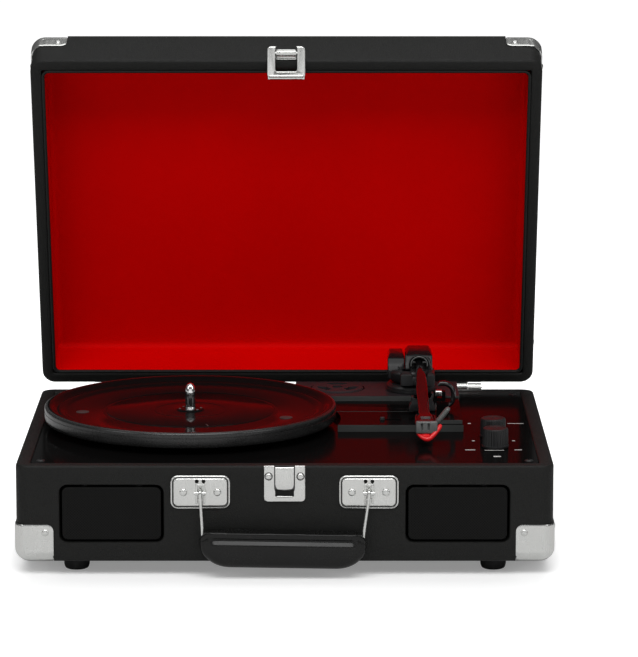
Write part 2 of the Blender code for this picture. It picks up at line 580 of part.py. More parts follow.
pin_bore = add("pin_bore", rod_mesh("pin_bore", 1.3, 16.6, 12), from_pivot(ARM_X, PIVOT_Y, ARM_PIVOT_Z), parent=swing_axis,
               guide=True, turn=ALONG_X)
cut(yoke, pin_bore)
arm_bore = add("arm_bore", rod_mesh("arm_bore", 1.35, 40, 12), (0, 0, 0), parent=lift_axis, guide=True, turn=ALONG_X)
cut(tonearm_tube, arm_bore)

cartridge = add("cartridge", box_mesh("cartridge", (9.0, 15.0, 3.8)), from_lift(ARM_X + 0.9, 74.0, 83.3), BLACK_SATIN,
                lift_axis)
bevel(cartridge, 0.6, 1)
stylus = add("stylus", loft("stylus", [
    [Vector(from_lift(ARM_X + 0.9 + sx * w, y, z0 + dz)) for sx, dz in ((-1, -h), (1, -h), (1, h), (-1, h))]
    for y, z0, w, h in ((59.0, 80.6, 2.0, 1.3), (64.0, 82.8, 4.6, 2.2), (66.2, 83.0, 4.6, 2.4))]), (0, 0, 0), RED_PLASTIC,
    lift_axis)

arm_rest = add("arm_rest", plate_mesh("arm_rest", [
    [(-9.0, 0), (9.0, 0), (9.4, 3.0), (7.4, 8.0), (7.6, 13.0), (6.0, 13.0), (5.2, 9.8), (-5.4, 9.8), (-6.0, 10.5),
     (-7.8, 10.5), (-7.4, 8.0), (-9.2, 3.0)]], 7.0), at(ARM_X + 0.5, 146.0, PAD_Z + GAP), BLACK_SATIN, turn=FACING_FRONT)
clip_axis = empty("rest_clip_axis", at(108.5, 146.0, PAD_Z + 3.0))
rest_clip = add("rest_clip", plate_mesh("rest_clip", [
    [(-1.3, -1.6), (1.3, -1.6), (4.6, 5.0), (5.0, 9.0), (3.6, 13.4), (0.6, 16.6), (-2.8, 18.0), (-3.4, 16.4), (-0.6, 15.0),
     (1.9, 12.4), (3.0, 8.8), (2.7, 5.6)]], 5.0), (0, 0, 0), BLACK_SATIN, clip_axis, FACING_FRONT)
# two moulded lugs on the pad hold the clip and the cue lever
clip_lug = box("clip_lug", (104.6, 112.6), (142.4, 149.6), (PAD_Z - 1.0, PAD_Z + 5.6), guide=True)
cut(clip_lug, box("clip_gap", (103, 114), (143.1, 148.9), (PAD_Z + 0.6, 100), guide=True))
cue_lug = box("cue_lug", (103.8, 112.0), (184.0, 190.0), (PAD_Z - 1.0, PAD_Z + 6.0), guide=True)
cut(cue_lug, box("cue_gap", (106.2, 109.6), (180, 194), (PAD_Z + 1.4, 100), guide=True))
join(deck_plate, clip_lug, cue_lug)
cue_axis = empty("cue_lever_axis", at(107.9, 187.0, PAD_Z + 4.2))
cue_lever = add("cue_lever", plate_mesh("cue_lever", [
    [(-1.4, -1.4), (1.4, -1.4), (1.8, 1.6), (2.6, 3.2), (2.0, 4.6), (-0.6, 4.8), (-1.5, 3.2)]], 2.8),
    (0, 0, 0), NICKEL, cue_axis, (math.pi / 2, 0, math.pi / 2))

# ---- knobs, switches --------------------------------------------------------
for name, y in (("volume", KNOB_Y1), ("pitch", KNOB_Y2)):
    control = turned(name + "_control", [(0, 84.0), (2.9, 84.0), (2.9, 70.9), (8.0, 70.9), (8.0, 63.0), (0, 63.0)],
                     at(KNOB_X, y, 0), STEEL, 20)
    knob = turned(name + "_knob", [(0, DECK_Z + KNOB_H), (KNOB_R - 0.9, DECK_Z + KNOB_H), (KNOB_R - 0.1, DECK_Z + KNOB_H - 0.8),
                                   (KNOB_R, DECK_Z + 0.6), (3.4, DECK_Z + 0.6), (3.4, 84.5), (0, 84.5)],
                  at(KNOB_X, y, 0), BLACK_SATIN, 32)
    smooth(knob)
for name, x, y in (("speed_switch", SPEED_X + 5.5, SPEED_Y), ("autostop_switch", STOP_X - 5.5, STOP_Y)):
    body = box(name, (x - 1.6, x + 1.6), (y - 1.2, y + 1.2), (76.4, LOW_Z + 2.0), BLACK_SATIN)
    bevel(body, 0.4, 1)

# ---- lid --------------------------------------------------------------------
lid_axis = empty("lid_hinge_axis", at(0, HINGE_Y, HINGE_Z), turn=(-math.radians(OPEN_DEG), 0, 0))
lid_zero = (0, HINGE_Y, HINGE_Z)
RIM_Z = CASE_TOP + LID_GAP


def lid_at(x, y, z):
    return ((x) * MM, (y - HINGE_Y) * MM, (z - HINGE_Z) * MM)


lid_case = add("lid_case", plate_mesh("lid_case", [rounded(CASE_W, CASE_D, CORNER_R, 4)], LID_H),
               lid_at(0, CASE_D / 2, RIM_Z + LID_H / 2), LEATHERETTE, lid_axis)
bevel(lid_case, 0.8, 1, 60)
lid_in = (CASE_W - 2 * LID_WALL, CASE_D - 2 * LID_WALL)
cut(lid_case, add("lid_cavity", plate_mesh("lid_cavity", [rounded(*lid_in, 5.0, 3)], 60.0),
                  lid_at(0, CASE_D / 2, RIM_Z + LID_H - LID_ROOF - 30.0), parent=lid_axis, guide=True))
lid_rounding = whole_box("lid_rounding", -0.06, RIM_Z - 30, RIM_Z + LID_H, CORNER_R, lid_axis, lid_zero)
for i, (sx, sy) in enumerate(((-1, -1), (1, -1), (-1, 1), (1, 1))):
    offcut = cut(corner_zone("lid_offcut_%d" % i, sx, sy, RIM_Z + LID_H - 19.4, RIM_Z + LID_H + 5, 24.4, lid_axis, lid_zero),
                 lid_rounding)
    cut(lid_case, offcut)
smooth(lid_case)

liner_out = (lid_in[0] - 2 * GAP, lid_in[1] - 2 * GAP)
liner_top = RIM_Z + LID_H - LID_ROOF - GAP
lid_liner = add("lid_liner", plate_mesh("lid_liner", [rounded(*liner_out, 4.8, 3)], liner_top - RIM_Z - 0.6),
                lid_at(0, CASE_D / 2, (liner_top + RIM_Z + 0.6) / 2), RED, lid_axis)
liner_hollow = add("liner_hollow", plate_mesh("liner_hollow", [rounded(liner_out[0] - 2 * LINER_T, liner_out[1] - 2 * LINER_T, 4.0, 3)],
                   60.0), lid_at(0, CASE_D / 2, liner_top - LINER_T - 30.0), parent=lid_axis, guide=True)
cut(lid_liner, liner_hollow)

lid_skin_in = whole_box("lid_skin_in", GAP, RIM_Z - 30, RIM_Z + LID_H, CORNER_R, lid_axis, lid_zero)
lid_skin_out = whole_box("lid_skin_out", GAP + 0.9, RIM_Z - 30, RIM_Z + LID_H, CORNER_R, lid_axis, lid_zero)
for name, sx, sy in (("front_left", -1, -1), ("front_right", 1, -1), ("back_left", -1, 1), ("back_right", 1, 1)):
    span = 24.0
    piece = add(name + "_lid_corner", box_mesh(name + "_lid_corner", (30, 30, 25)),
                lid_at(sx * (CASE_W / 2 - span + 15), -15 + span if sy < 0 else CASE_D - span + 15,
                       RIM_Z + LID_H - 19 + 12.5), NICKEL, lid_axis)
    boolean(piece, lid_skin_out, "INTERSECT")
    cut(piece, lid_skin_in)
    smooth(piece)

# ---- hasp -------------------------------------------------------------------
HASP_Z = RIM_Z + HASP_UP
hasp_mount = box("hasp_mount", (-7.0, 7.0), (-1.5, -GAP), (RIM_Z + 0.6, RIM_Z + 13.0), NICKEL, lid_axis, lid_zero)
knuckle = add("hasp_knuckle", rod_mesh("hasp_knuckle", 2.7, 14.0, 16), lid_at(0, HASP_Y, HASP_Z), parent=lid_axis, guide=True,
              turn=ALONG_X)
web = box("hasp_web", (-7.0, 7.0), (HASP_Y + 1.2, -0.8), (HASP_Z + 0.1, HASP_Z + 2.6), parent=lid_axis, origin=lid_zero,
          guide=True)
hasp_bore = add("hasp_bore", rod_mesh("hasp_bore", 1.5, 30.0, 16), lid_at(0, HASP_Y, HASP_Z), parent=lid_axis, guide=True,
                turn=ALONG_X)
join(hasp_mount, web, knuckle)
cut(hasp_mount, hasp_bore)
hasp_axis = empty("hasp_axis", lid_at(0, HASP_Y, HASP_Z), lid_axis, (math.radians(OPEN_DEG), 0, 0))
hasp_ring = add("hasp_ring", plate_mesh("hasp_ring", [
    [(-7.4, 4.7), (-10.2, 4.7), (-12.4, 3.6), (-13.35, 1.2), (-13.35, -15.6), (-12.6, -16.6), (-11.6, -18.5), (11.6, -18.5),
     (12.6, -16.6), (13.35, -15.6), (13.35, 1.2), (12.4, 3.6), (10.2, 4.7), (7.4, 4.7), (7.4, -11.4), (6.2, -12.5),
     (-6.2, -12.5), (-7.4, -11.4)]], 2.0), (0, 0, 0), NICKEL, hasp_axis, FACING_FRONT)
join(hasp_ring, add("hasp_pin", rod_mesh("hasp_pin", 1.1, 17.0, 12), (0, 0, 0), parent=hasp_axis, guide=True, turn=ALONG_X))

# ---- lid hinges -------------------------------------------------------------
leaf_y = (CASE_D + GAP, CASE_D + GAP + 1.3)
for side, sx in (("left", -1), ("right", 1)):
    hx = sx * HINGE_X
    base_leaf = box(side + "_hinge_base_leaf", (hx - 14.5, hx + 14.5), leaf_y, (60.0, 72.2), NICKEL)
    for a, b in ((-14.5, -5.0), (5.0, 14.5)):
        join(base_leaf,
             box("leaf_tab", (hx + a, hx + b), leaf_y, (71.0, HINGE_Z), guide=True),
             add("leaf_knuckle", rod_mesh("leaf_knuckle", 2.7, b - a, 16), at(hx + (a + b) / 2, HINGE_Y, HINGE_Z), guide=True,
                 turn=ALONG_X))
    cut(base_leaf, add("leaf_bore", rod_mesh("leaf_bore", 1.5, 40, 16), at(hx, HINGE_Y, HINGE_Z), guide=True, turn=ALONG_X))
    lid_leaf = box(side + "_hinge_lid_leaf", (hx - 14.5, hx + 14.5), leaf_y, (78.7, 91.0), NICKEL, lid_axis, lid_zero)
    join(lid_leaf,
         box("lid_leaf_tab", (hx - 4.7, hx + 4.7), leaf_y, (HINGE_Z, 80.0), parent=lid_axis, origin=lid_zero, guide=True),
         add("lid_leaf_knuckle", rod_mesh("lid_leaf_knuckle", 2.7, 9.4, 16), (hx * MM, 0, 0), parent=lid_axis, guide=True,
             turn=ALONG_X))
    cut(lid_leaf, add("lid_leaf_bore", rod_mesh("lid_leaf_bore", 1.5, 40, 16), (hx * MM, 0, 0), parent=lid_axis, guide=True,
                      turn=ALONG_X))
    add(side + "_hinge_pin", rod_mesh(side + "_hinge_pin", 1.2, 30.0, 16), at(hx, HINGE_Y, HINGE_Z), CHROME, turn=ALONG_X)
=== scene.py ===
"""Looks of the suitcase record player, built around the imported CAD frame.

Shapes are written in layout millimetres (x from the middle, y from the base's
front face backwards, z from the floor) and turned into metres by matrices. Lid
pieces are written as they lie when the lid is shut and are turned with it."""
import math

import bmesh
import bpy
from mathutils import Matrix, Vector


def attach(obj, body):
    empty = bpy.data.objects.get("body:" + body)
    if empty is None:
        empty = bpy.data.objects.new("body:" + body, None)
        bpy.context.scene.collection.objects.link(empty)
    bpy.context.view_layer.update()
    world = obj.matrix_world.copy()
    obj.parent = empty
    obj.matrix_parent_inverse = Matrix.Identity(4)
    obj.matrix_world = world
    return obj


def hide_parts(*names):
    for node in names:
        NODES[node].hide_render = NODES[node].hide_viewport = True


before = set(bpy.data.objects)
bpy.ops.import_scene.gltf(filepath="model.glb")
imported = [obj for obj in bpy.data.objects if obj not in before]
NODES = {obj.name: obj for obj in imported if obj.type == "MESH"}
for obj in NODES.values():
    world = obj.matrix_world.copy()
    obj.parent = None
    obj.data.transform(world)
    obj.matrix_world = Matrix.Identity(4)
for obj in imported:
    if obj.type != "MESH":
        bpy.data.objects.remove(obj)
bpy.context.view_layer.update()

MM = 0.001
MID_Y = 142.1
CASE_W, CASE_D, FOOT_H, CASE_TOP, CASE_WALL = 355.6, 258.0, 10.0, 74.7, 9.5
RIM_Z, LID_H, LID_WALL, LID_ROOF = 75.2, 42.0, 7.6, 3.2
HINGE_Y, HINGE_Z = 261.7, 75.45
OPEN = math.radians(71.0)
DECK_Z, LOW_Z, HIGH_Z, PAD_Z = 74.2, 79.0, 82.5, 81.5
PLATTER_X, PLATTER_Y = -66.3, 132.0
PIVOT_X, PIVOT_Y, ARM_X, ARM_PIVOT_Z = 88.5, 216.0, 94.0, 102.6
KNOB_X, KNOB_Y1, KNOB_Y2 = 141.5, 60.0, 93.0
SPEAKER_X, SPEAKER_Z, GRILLE_W, GRILLE_H = 114.3, 42.4, 68.5, 38.5
BRACKET_X, BRACKET_Z = 55.6, 57.3

T = Matrix.Translation
BASE_M = T((0, -MID_Y * MM, 0)) @ Matrix.Scale(MM, 4)
LID_M = T((0, (HINGE_Y - MID_Y) * MM, HINGE_Z * MM)) @ Matrix.Rotation(-OPEN, 4, "X") @ Matrix.Scale(MM, 4) @ T((0, -HINGE_Y, -HINGE_Z))
FRONT = Matrix.Rotation(math.pi / 2, 4, "X")          # local z comes out of the front
BACK = Matrix.Rotation(-math.pi / 2, 4, "X")


# ---- camera -----------------------------------------------------------------
cam = bpy.data.objects.new("camera", bpy.data.cameras.new("camera"))
bpy.context.scene.collection.objects.link(cam)
cam.data.sensor_fit = "AUTO"
cam.data.sensor_width = 36.0
cam.data.lens = 3732.13 * 1.0065 / 657.0 * 36.0
cam.data.shift_x = 0.7 / 657.0
cam.data.clip_start = 0.05
cam.data.clip_end = 60.0
cam.location = (0.022206, -2.416237 - MID_Y * MM, 0.611401)
cam.rotation_euler = (math.radians(90.0 - 10.4278), 0.0, 0.0)
bpy.context.scene.camera = cam


# ---- materials --------------------------------------------------------------
class Paint:
    """A Principled material with a few node helpers. Object coordinates are
    metres in the row frame."""

    def __init__(self, name, colour, rough, metal=0.0, ior=1.5, **sockets):
        self.m = bpy.data.materials.new(name)
        self.m.use_nodes = True
        self.t = self.m.node_tree
        self.b = self.t.nodes["Principled BSDF"]
        self.b.inputs["Base Color"].default_value = (*colour, 1)
        self.b.inputs["Roughness"].default_value = rough
        self.b.inputs["Metallic"].default_value = metal
        self.b.inputs["IOR"].default_value = ior
        for k, v in sockets.items():
            self.b.inputs[k.replace("_", " ")].default_value = v
        self.co = self.t.nodes.new("ShaderNodeTexCoord").outputs["Object"]

    def node(self, kind, **props):
        n = self.t.nodes.new(kind)
        for k, v in props.items():
            setattr(n, k, v)
        return n

    def link(self, a, b):
        self.t.links.new(a, b)

    def mapping(self, scale=(1, 1, 1), turn=(0, 0, 0), source=None):
        n = self.node("ShaderNodeMapping")
        n.inputs["Scale"].default_value = scale
        n.inputs["Rotation"].default_value = turn
        self.link(source or self.co, n.inputs["Vector"])
        return n.outputs["Vector"]

    def noise(self, scale, detail=3.0, rough=0.55, source=None, distortion=0.0):
        n = self.node("ShaderNodeTexNoise")
        n.inputs["Scale"].default_value = scale
        n.inputs["Detail"].default_value = detail
        n.inputs["Roughness"].default_value = rough
        n.inputs["Distortion"].default_value = distortion
        self.link(source or self.co, n.inputs["Vector"])
        return n.outputs["Fac"]

    def cells(self, scale, feature="F1", randomness=1.0, source=None, smooth=None):
        n = self.node("ShaderNodeTexVoronoi", feature=feature)
        n.inputs["Scale"].default_value = scale
        n.inputs["Randomness"].default_value = randomness
        if smooth is not None and "Smoothness" in n.inputs:
            n.inputs["Smoothness"].default_value = smooth
        self.link(source or self.co, n.inputs["Vector"])
        return n.outputs["Distance"]

    def range(self, value, a, b, c, d, smooth=True):
        n = self.node("ShaderNodeMapRange", interpolation_type="SMOOTHSTEP" if smooth else "LINEAR")
        for k, v in zip(("From Min", "From Max", "To Min", "To Max"), (a, b, c, d)):
            n.inputs[k].default_value = v
        self.link(value, n.inputs["Value"])
        return n.outputs["Result"]

    def math(self, op, a, b=None, c=None):
        n = self.node("ShaderNodeMath", operation=op)
        for i, v in enumerate((a, b, c)):
            if v is None:
                continue
            if isinstance(v, (int, float)):
                n.inputs[i].default_value = v
            else:
                self.link(v, n.inputs[i])
        return n.outputs[0]

    def colours(self, fac, c0, c1):
        n = self.node("ShaderNodeMix", data_type="RGBA")
        n.inputs["A"].default_value = (*c0, 1)
        n.inputs["B"].default_value = (*c1, 1)
        self.link(fac, n.inputs["Factor"])
        return n.outputs["Result"]

    def mix(self, fac, a, b):
        n = self.node("ShaderNodeMix", data_type="RGBA")
        self.link(fac, n.inputs["Factor"])
        for s, v in (("A", a), ("B", b)):
            if isinstance(v, tuple):
                n.inputs[s].default_value = (*v, 1)
            else:
                self.link(v, n.inputs[s])
        return n.outputs["Result"]

    def xyz(self):
        n = self.node("ShaderNodeSeparateXYZ")
        self.link(self.co, n.inputs[0])
        return n.outputs

    def base(self, socket):
        self.link(socket, self.b.inputs["Base Color"])

    def rough(self, socket):
        self.link(socket, self.b.inputs["Roughness"])

    def bump(self, *layers):
        """Layers of (height, strength, distance in mm), each on the last."""
        last = None
        for height, strength, distance in layers:
            n = self.node("ShaderNodeBump")
            n.inputs["Strength"].default_value = strength
            n.inputs["Distance"].default_value = distance * MM
            self.link(height, n.inputs["Height"])
            if last is not None:
                self.link(last, n.inputs["Normal"])
            last = n.outputs["Normal"]
        self.link(last, self.b.inputs["Normal"])


def leather_material():
    p = Paint("black_leatherette", (0.008, 0.008, 0.0075), 0.5, ior=1.30)
    warp = p.node("ShaderNodeVectorMath", operation="ADD")
    soft = p.node("ShaderNodeTexNoise")
    soft.inputs["Scale"].default_value = 300.0
    scaled = p.node("ShaderNodeVectorMath", operation="SCALE")
    scaled.inputs["Scale"].default_value = 0.0009
    p.link(p.co, soft.inputs["Vector"])
    p.link(soft.outputs["Color"], scaled.inputs[0])
    p.link(p.co, warp.inputs[0])
    p.link(scaled.outputs[0], warp.inputs[1])
    grain = p.cells(760.0, "DISTANCE_TO_EDGE", 1.0, warp.outputs[0])
    pebble = p.range(grain, 0.0, 0.24, 0.0, 1.0)
    fine = p.cells(2100.0, "F1", 1.0)
    slow = p.noise(14.0, 3.0)
    p.base(p.colours(p.math("MULTIPLY_ADD", pebble, 0.6, p.math("MULTIPLY", slow, 0.5)), (0.0024, 0.0025, 0.0022), (0.0064, 0.0066, 0.0059)))
    p.rough(p.math("ADD", p.range(pebble, 0, 1, 0.62, 0.46, False), p.range(slow, 0.3, 0.7, -0.04, 0.04, False)))
    p.bump((p.noise(60.0, 2.0), 0.25, 0.5), (pebble, 0.5, 0.16), (fine, 0.22, 0.06))
    return p.m


def gloss_material(name, colour, rough, ior, speck=0.0006):
    p = Paint(name, colour, rough, ior=ior)
    slow = p.noise(22.0, 2.0)
    hair = p.noise(900.0, 2.0, source=p.mapping((1, 0.08, 1)))
    p.rough(p.math("ADD", p.range(slow, 0.3, 0.7, rough - 0.025, rough + 0.03, False), p.range(hair, 0.55, 0.8, 0.0, 0.05)))
    dust = p.range(p.cells(330.0), 0.02, 0.06, 1.0, 0.0)
    p.base(p.colours(p.math("MULTIPLY", dust, 0.5), colour, tuple(c + 0.03 for c in colour)))
    p.bump((slow, 0.12, 0.4), (p.noise(420.0, 2.0), 0.05, 0.02))
    return p.m


def satin_material(name, colour, rough, ior=1.4, grain=1500.0, depth=0.05, strength=0.35):
    """Moulded plastic with a fine spark-eroded texture."""
    p = Paint(name, colour, rough, ior=ior)
    vdi = p.noise(grain, 3.0, 0.6)
    slow = p.noise(35.0, 3.0)
    p.rough(p.math("ADD", p.range(vdi, 0.3, 0.7, rough - 0.05, rough + 0.07, False), p.range(slow, 0.3, 0.7, -0.04, 0.04, False)))
    p.base(p.colours(p.math("ADD", p.range(slow, 0.3, 0.7, 0.0, 0.5), p.range(vdi, 0.3, 0.7, 0.0, 0.5)),
                     tuple(c * 0.8 for c in colour), tuple(c * 1.25 for c in colour)))
    p.bump((vdi, strength, depth))
    return p.m


def metal_material(name, colour, rough, brushed=None, wear=0.05):
    p = Paint(name, colour, rough, 1.0)
    slow = p.noise(70.0, 4.0, 0.6)
    fine = p.noise(2400.0, 2.0) if brushed is None else p.noise(2600.0, 2.0, source=p.mapping(brushed))
    scratch = p.range(p.noise(1300.0, 1.0, source=p.mapping((1.0, 0.05, 0.04), (0.3, 0.5, 0.2))), 0.60, 0.72, 0.0, 1.0)
    p.rough(p.math("ADD", p.range(slow, 0.3, 0.7, rough - 0.04, rough + 0.06, False),
                   p.math("ADD", p.math("MULTIPLY", scratch, 0.06), p.range(fine, 0.35, 0.65, -0.02, 0.03, False))))
    p.base(p.colours(p.range(slow, 0.25, 0.75, 0, 1), tuple(c * (1 - wear) for c in colour), tuple(min(1.0, c * (1 + wear)) for c in colour)))
    p.bump((fine, 0.08, 0.01), (slow, 0.05, 0.02))
    return p.m


def liner_material():
    p = Paint("red_lining", (0.42, 0.0, 0.0), 0.7, ior=1.08)
    cloth = p.noise(1500.0, 3.0, 0.6)
    slow = p.noise(9.0, 3.0)
    p.base(p.colours(p.math("ADD", p.range(cloth, 0.3, 0.7, 0.0, 0.45), p.range(slow, 0.3, 0.7, 0.0, 0.55)),
                     (0.47, 0.0, 0.0), (0.545, 0.0, 0.0)))
    p.rough(p.range(cloth, 0.3, 0.7, 0.5, 0.66, False))
    p.bump((slow, 0.15, 1.0), (cloth, 0.25, 0.05))
    return p.m


def grille_material():
    p = Paint("perforated_black", (0.004, 0.004, 0.004), 0.55, ior=1.22)
    turned = p.mapping((1, 0.0, 1), (0, math.radians(45), 0))
    hole = p.cells(760.0, "F1", 0.0, turned)
    inside = p.range(hole, 0.26, 0.40, 1.0, 0.0)
    slow = p.noise(60.0, 2.0)
    # inside each perforation the colour drops to near black: painted shade in the holes
    p.base(p.mix(inside, p.colours(slow, (0.0030, 0.0030, 0.0028), (0.0046, 0.0046, 0.0043)), (0.0010, 0.0010, 0.0010)))
    p.rough(p.range(inside, 0, 1, 0.5, 0.95, False))
    p.bump((p.range(hole, 0.26, 0.42, 0.0, 1.0), 0.4, 0.15), (p.noise(1800.0, 2.0), 0.2, 0.03))
    return p.m


def rubber_material(name, colour=(0.010, 0.010, 0.010)):
    p = Paint(name, colour, 0.72, ior=1.35)
    fine = p.noise(1300.0, 4.0, 0.65)
    dust = p.noise(120.0, 4.0)
    p.base(p.colours(p.range(dust, 0.45, 0.75, 0, 1), colour, tuple(c * 1.9 for c in colour)))
    p.rough(p.range(fine, 0.3, 0.7, 0.62, 0.85, False))
    p.bump((fine, 0.4, 0.07))
    return p.m


def board_material():
    p = Paint("circuit_green", (0.01, 0.09, 0.03), 0.4)
    trace = p.range(p.cells(180.0, "DISTANCE_TO_EDGE", 0.0), 0.02, 0.10, 1.0, 0.0)
    fine = p.noise(900.0, 3.0)
    p.base(p.colours(p.math("MULTIPLY", trace, 0.8), (0.006, 0.07, 0.022), (0.03, 0.18, 0.06)))
    p.rough(p.range(fine, 0.3, 0.7, 0.3, 0.5, False))
    p.bump((trace, 0.4, 0.05))
    return p.m


LEATHER = leather_material()
DECK = gloss_material("black_gloss_deck", (0.0030, 0.0028, 0.0028), 0.13, 1.07)
PLATTER = gloss_material("black_gloss_platter", (0.0042, 0.0042, 0.0042), 0.16, 1.115)
ARM_GLOSS = gloss_material("black_gloss_arm", (0.005, 0.005, 0.0055), 0.08, 1.6)
SATIN = satin_material("black_satin", (0.010, 0.010, 0.0105), 0.36, 1.4)
GRIP = satin_material("black_grip", (0.0042, 0.0042, 0.0040), 0.22, 1.33, 1100.0, 0.02, 0.12)
PLATTER_RIM = satin_material("black_rim", (0.012, 0.012, 0.012), 0.26, 1.5, 1500.0, 0.02, 0.15)
GREY = satin_material("grey_satin", (0.075, 0.078, 0.076), 0.30, 1.5)
DECK_TOP = satin_material("deck_platform_top", (0.021, 0.019, 0.021), 0.46, 1.22)
DECK_EDGE = satin_material("deck_upright_faces", (0.030, 0.032, 0.031), 0.42, 1.4)
NICKEL = metal_material("nickel", (0.61, 0.615, 0.60), 0.22, wear=0.02)
PAINTED_GROOVE_SHADE = metal_material("nickel_painted_groove_shade", (0.10, 0.10, 0.098), 0.5, wear=0.2)
# darker nickel for grooves, recesses and rivet seats: painted shade
CHROME = metal_material("chrome", (0.85, 0.85, 0.85), 0.10, wear=0.02)
STEEL = metal_material("zinc_steel", (0.52, 0.52, 0.51), 0.36, (1, 1, 0.04), 0.1)
BRASS = metal_material("brass", (0.62, 0.44, 0.20), 0.30, (1, 1, 0.04), 0.1)
LINER = liner_material()
GRILLE = grille_material()
RUBBER = rubber_material("black_rubber")
BELT = rubber_material("belt_rubber", (0.014, 0.013, 0.012))
RED = satin_material("red_moulding", (0.55, 0.008, 0.010), 0.26, 1.45, 800.0, 0.02, 0.15)
BOARD = board_material()
PRINT = satin_material("printed_marks", (0.50, 0.49, 0.48), 0.5, 1.4, 2500.0, 0.01, 0.1)
JACK_RED = satin_material("jack_red", (0.45, 0.015, 0.012), 0.35)
JACK_WHITE = satin_material("jack_white", (0.72, 0.70, 0.66), 0.35)
BORE = satin_material("dark_bore", (0.003, 0.003, 0.003), 0.8, 1.2)


# ---- mesh helpers -----------------------------------------------------------
def piece(name, bm, matrix, body, material, replaces=(), slot=None, angle=38.0, merge=True):
    if merge:
        bmesh.ops.remove_doubles(bm, verts=bm.verts, dist=1e-4)
    bmesh.ops.recalc_face_normals(bm, faces=bm.faces)
    bm.transform(matrix)
    mesh = bpy.data.meshes.new(name)
    bm.to_mesh(mesh)
    bm.free()
    return wear(bpy.data.objects.new(name, mesh), body, material, replaces, slot, angle)


def wear(obj, body, material, replaces=(), slot=None, angle=38.0):
    if obj.name not in bpy.context.scene.collection.objects:
        bpy.context.scene.collection.objects.link(obj)
    obj.data.materials.clear()
    for m in material if isinstance(material, (list, tuple)) else [material]:
        obj.data.materials.append(m)
    obj.data.shade_smooth()
    obj.data.set_sharp_from_angle(angle=math.radians(angle))
    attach(obj, body)
    if replaces:
        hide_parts(*([replaces] if isinstance(replaces, str) else replaces))
    return obj


def repaint(obj, test, index=1):
    """Give the faces whose middle passes the test another material."""
    for f in obj.data.polygons:
        if test(f.center / MM, f.normal):
            f.material_index = index
    return obj


def apply_modifiers(obj):
    depsgraph = bpy.context.evaluated_depsgraph_get()
    mesh = bpy.data.meshes.new_from_object(obj.evaluated_get(depsgraph))
    old = obj.data
    obj.modifiers.clear()
    obj.data = mesh
    bpy.data.meshes.remove(old)
    return obj


def raw(name, bm, matrix=None):
    """An unlinked-to-body helper object, for booleans; removed afterwards."""
    bmesh.ops.remove_doubles(bm, verts=bm.verts, dist=1e-4)
    bmesh.ops.recalc_face_normals(bm, faces=bm.faces)
    if matrix is not None:
        bm.transform(matrix)
    mesh = bpy.data.meshes.new(name)
    bm.to_mesh(mesh)
    bm.free()
    obj = bpy.data.objects.new(name, mesh)
    bpy.context.scene.collection.objects.link(obj)
    return obj


def boolean(obj, others, operation="DIFFERENCE"):
    for o in others:
        m = obj.modifiers.new("b", "BOOLEAN")
        m.operation = operation
        m.solver = "EXACT"
        m.use_self = True
        m.object = o
    bpy.context.view_layer.update()
    apply_modifiers(obj)
    for o in others:
        bpy.data.objects.remove(o, do_unlink=True)
    return obj


def rounded(w, h, r, steps=8, cx=0.0, cy=0.0):
    out = []
    for sx, sy, start in ((1, 1, 0), (-1, 1, 90), (-1, -1, 180), (1, -1, 270)):
        for i in range(steps + 1):
            a = math.radians(start + 90.0 * i / steps)
            out.append((cx + sx * (w / 2 - r) + r * math.cos(a), cy + sy * (h / 2 - r) + r * math.sin(a)))
    return out


def rr(w, h, r, steps=8, cx=0.0, cy=0.0):
    """A rounded rectangle that keeps its corners round at any inset."""
    return lambda d: rounded(w - 2 * d, h - 2 * d, max(r - d, 0.03), steps, cx, cy)


def circle(r, steps=48, cx=0.0, cy=0.0):
    return [(cx + r * math.cos(2 * math.pi * i / steps), cy + r * math.sin(2 * math.pi * i / steps)) for i in range(steps)]


def soften(outline, r, steps=4):
    """The corners of a polygon rounded by arcs."""
    out, n = [], len(outline)
    for i in range(n):
        p0, p, p1 = Vector(outline[i - 1]), Vector(outline[i]), Vector(outline[(i + 1) % n])
        a, b = (p0 - p), (p1 - p)
        d = min(r, a.length * 0.45, b.length * 0.45)
        a, b = p + a.normalized() * d, p + b.normalized() * d
        for k in range(steps + 1):
            t = k / steps
            out.append(tuple((1 - t) ** 2 * a + 2 * t * (1 - t) * p + t * t * b))
    return out


def inset(outline, d):
    """A counter-clockwise outline moved inwards by d."""
    if abs(d) < 1e-9:
        return [Vector(p) for p in outline]
    out, n = [], len(outline)
    for i in range(n):
        p0, p, p1 = Vector(outline[i - 1]), Vector(outline[i]), Vector(outline[(i + 1) % n])
        e0, e1 = (p - p0), (p1 - p)
        if e0.length < 1e-7 or e1.length < 1e-7:
            e0 = e0 if e0.length > e1.length else e1
            e1 = e0
        e0, e1 = e0.normalized(), e1.normalized()
        n0, n1 = Vector((-e0.y, e0.x)), Vector((-e1.y, e1.x))
        out.append(p + (n0 + n1) * (d / max(0.25, 1 + n0.dot(n1))))
    return out


def stack(bm, outline, profile, closed=False, matrix=None):
    """Rings of an outline at (inset, height) steps, capped at both ends, or
    closed on themselves."""
    rings = []
    for d, z in profile:
        ring = [bm.verts.new(Vector((p[0], p[1], z))) for p in (outline(d) if callable(outline) else inset(outline, d))]
        rings.append(ring)
    n = len(rings[0])
    pairs = list(zip(rings, rings[1:])) + ([(rings[-1], rings[0])] if closed else [])
    for a, b in pairs:
        for i in range(n):
            bm.faces.new((a[i], a[(i + 1) % n], b[(i + 1) % n], b[i]))
    if not closed:
        bm.faces.new(rings[0][::-1])
        bm.faces.new(rings[-1])
    if matrix is not None:
        for ring in rings:
            for v in ring:
                v.co = matrix @ v.co
    return bm


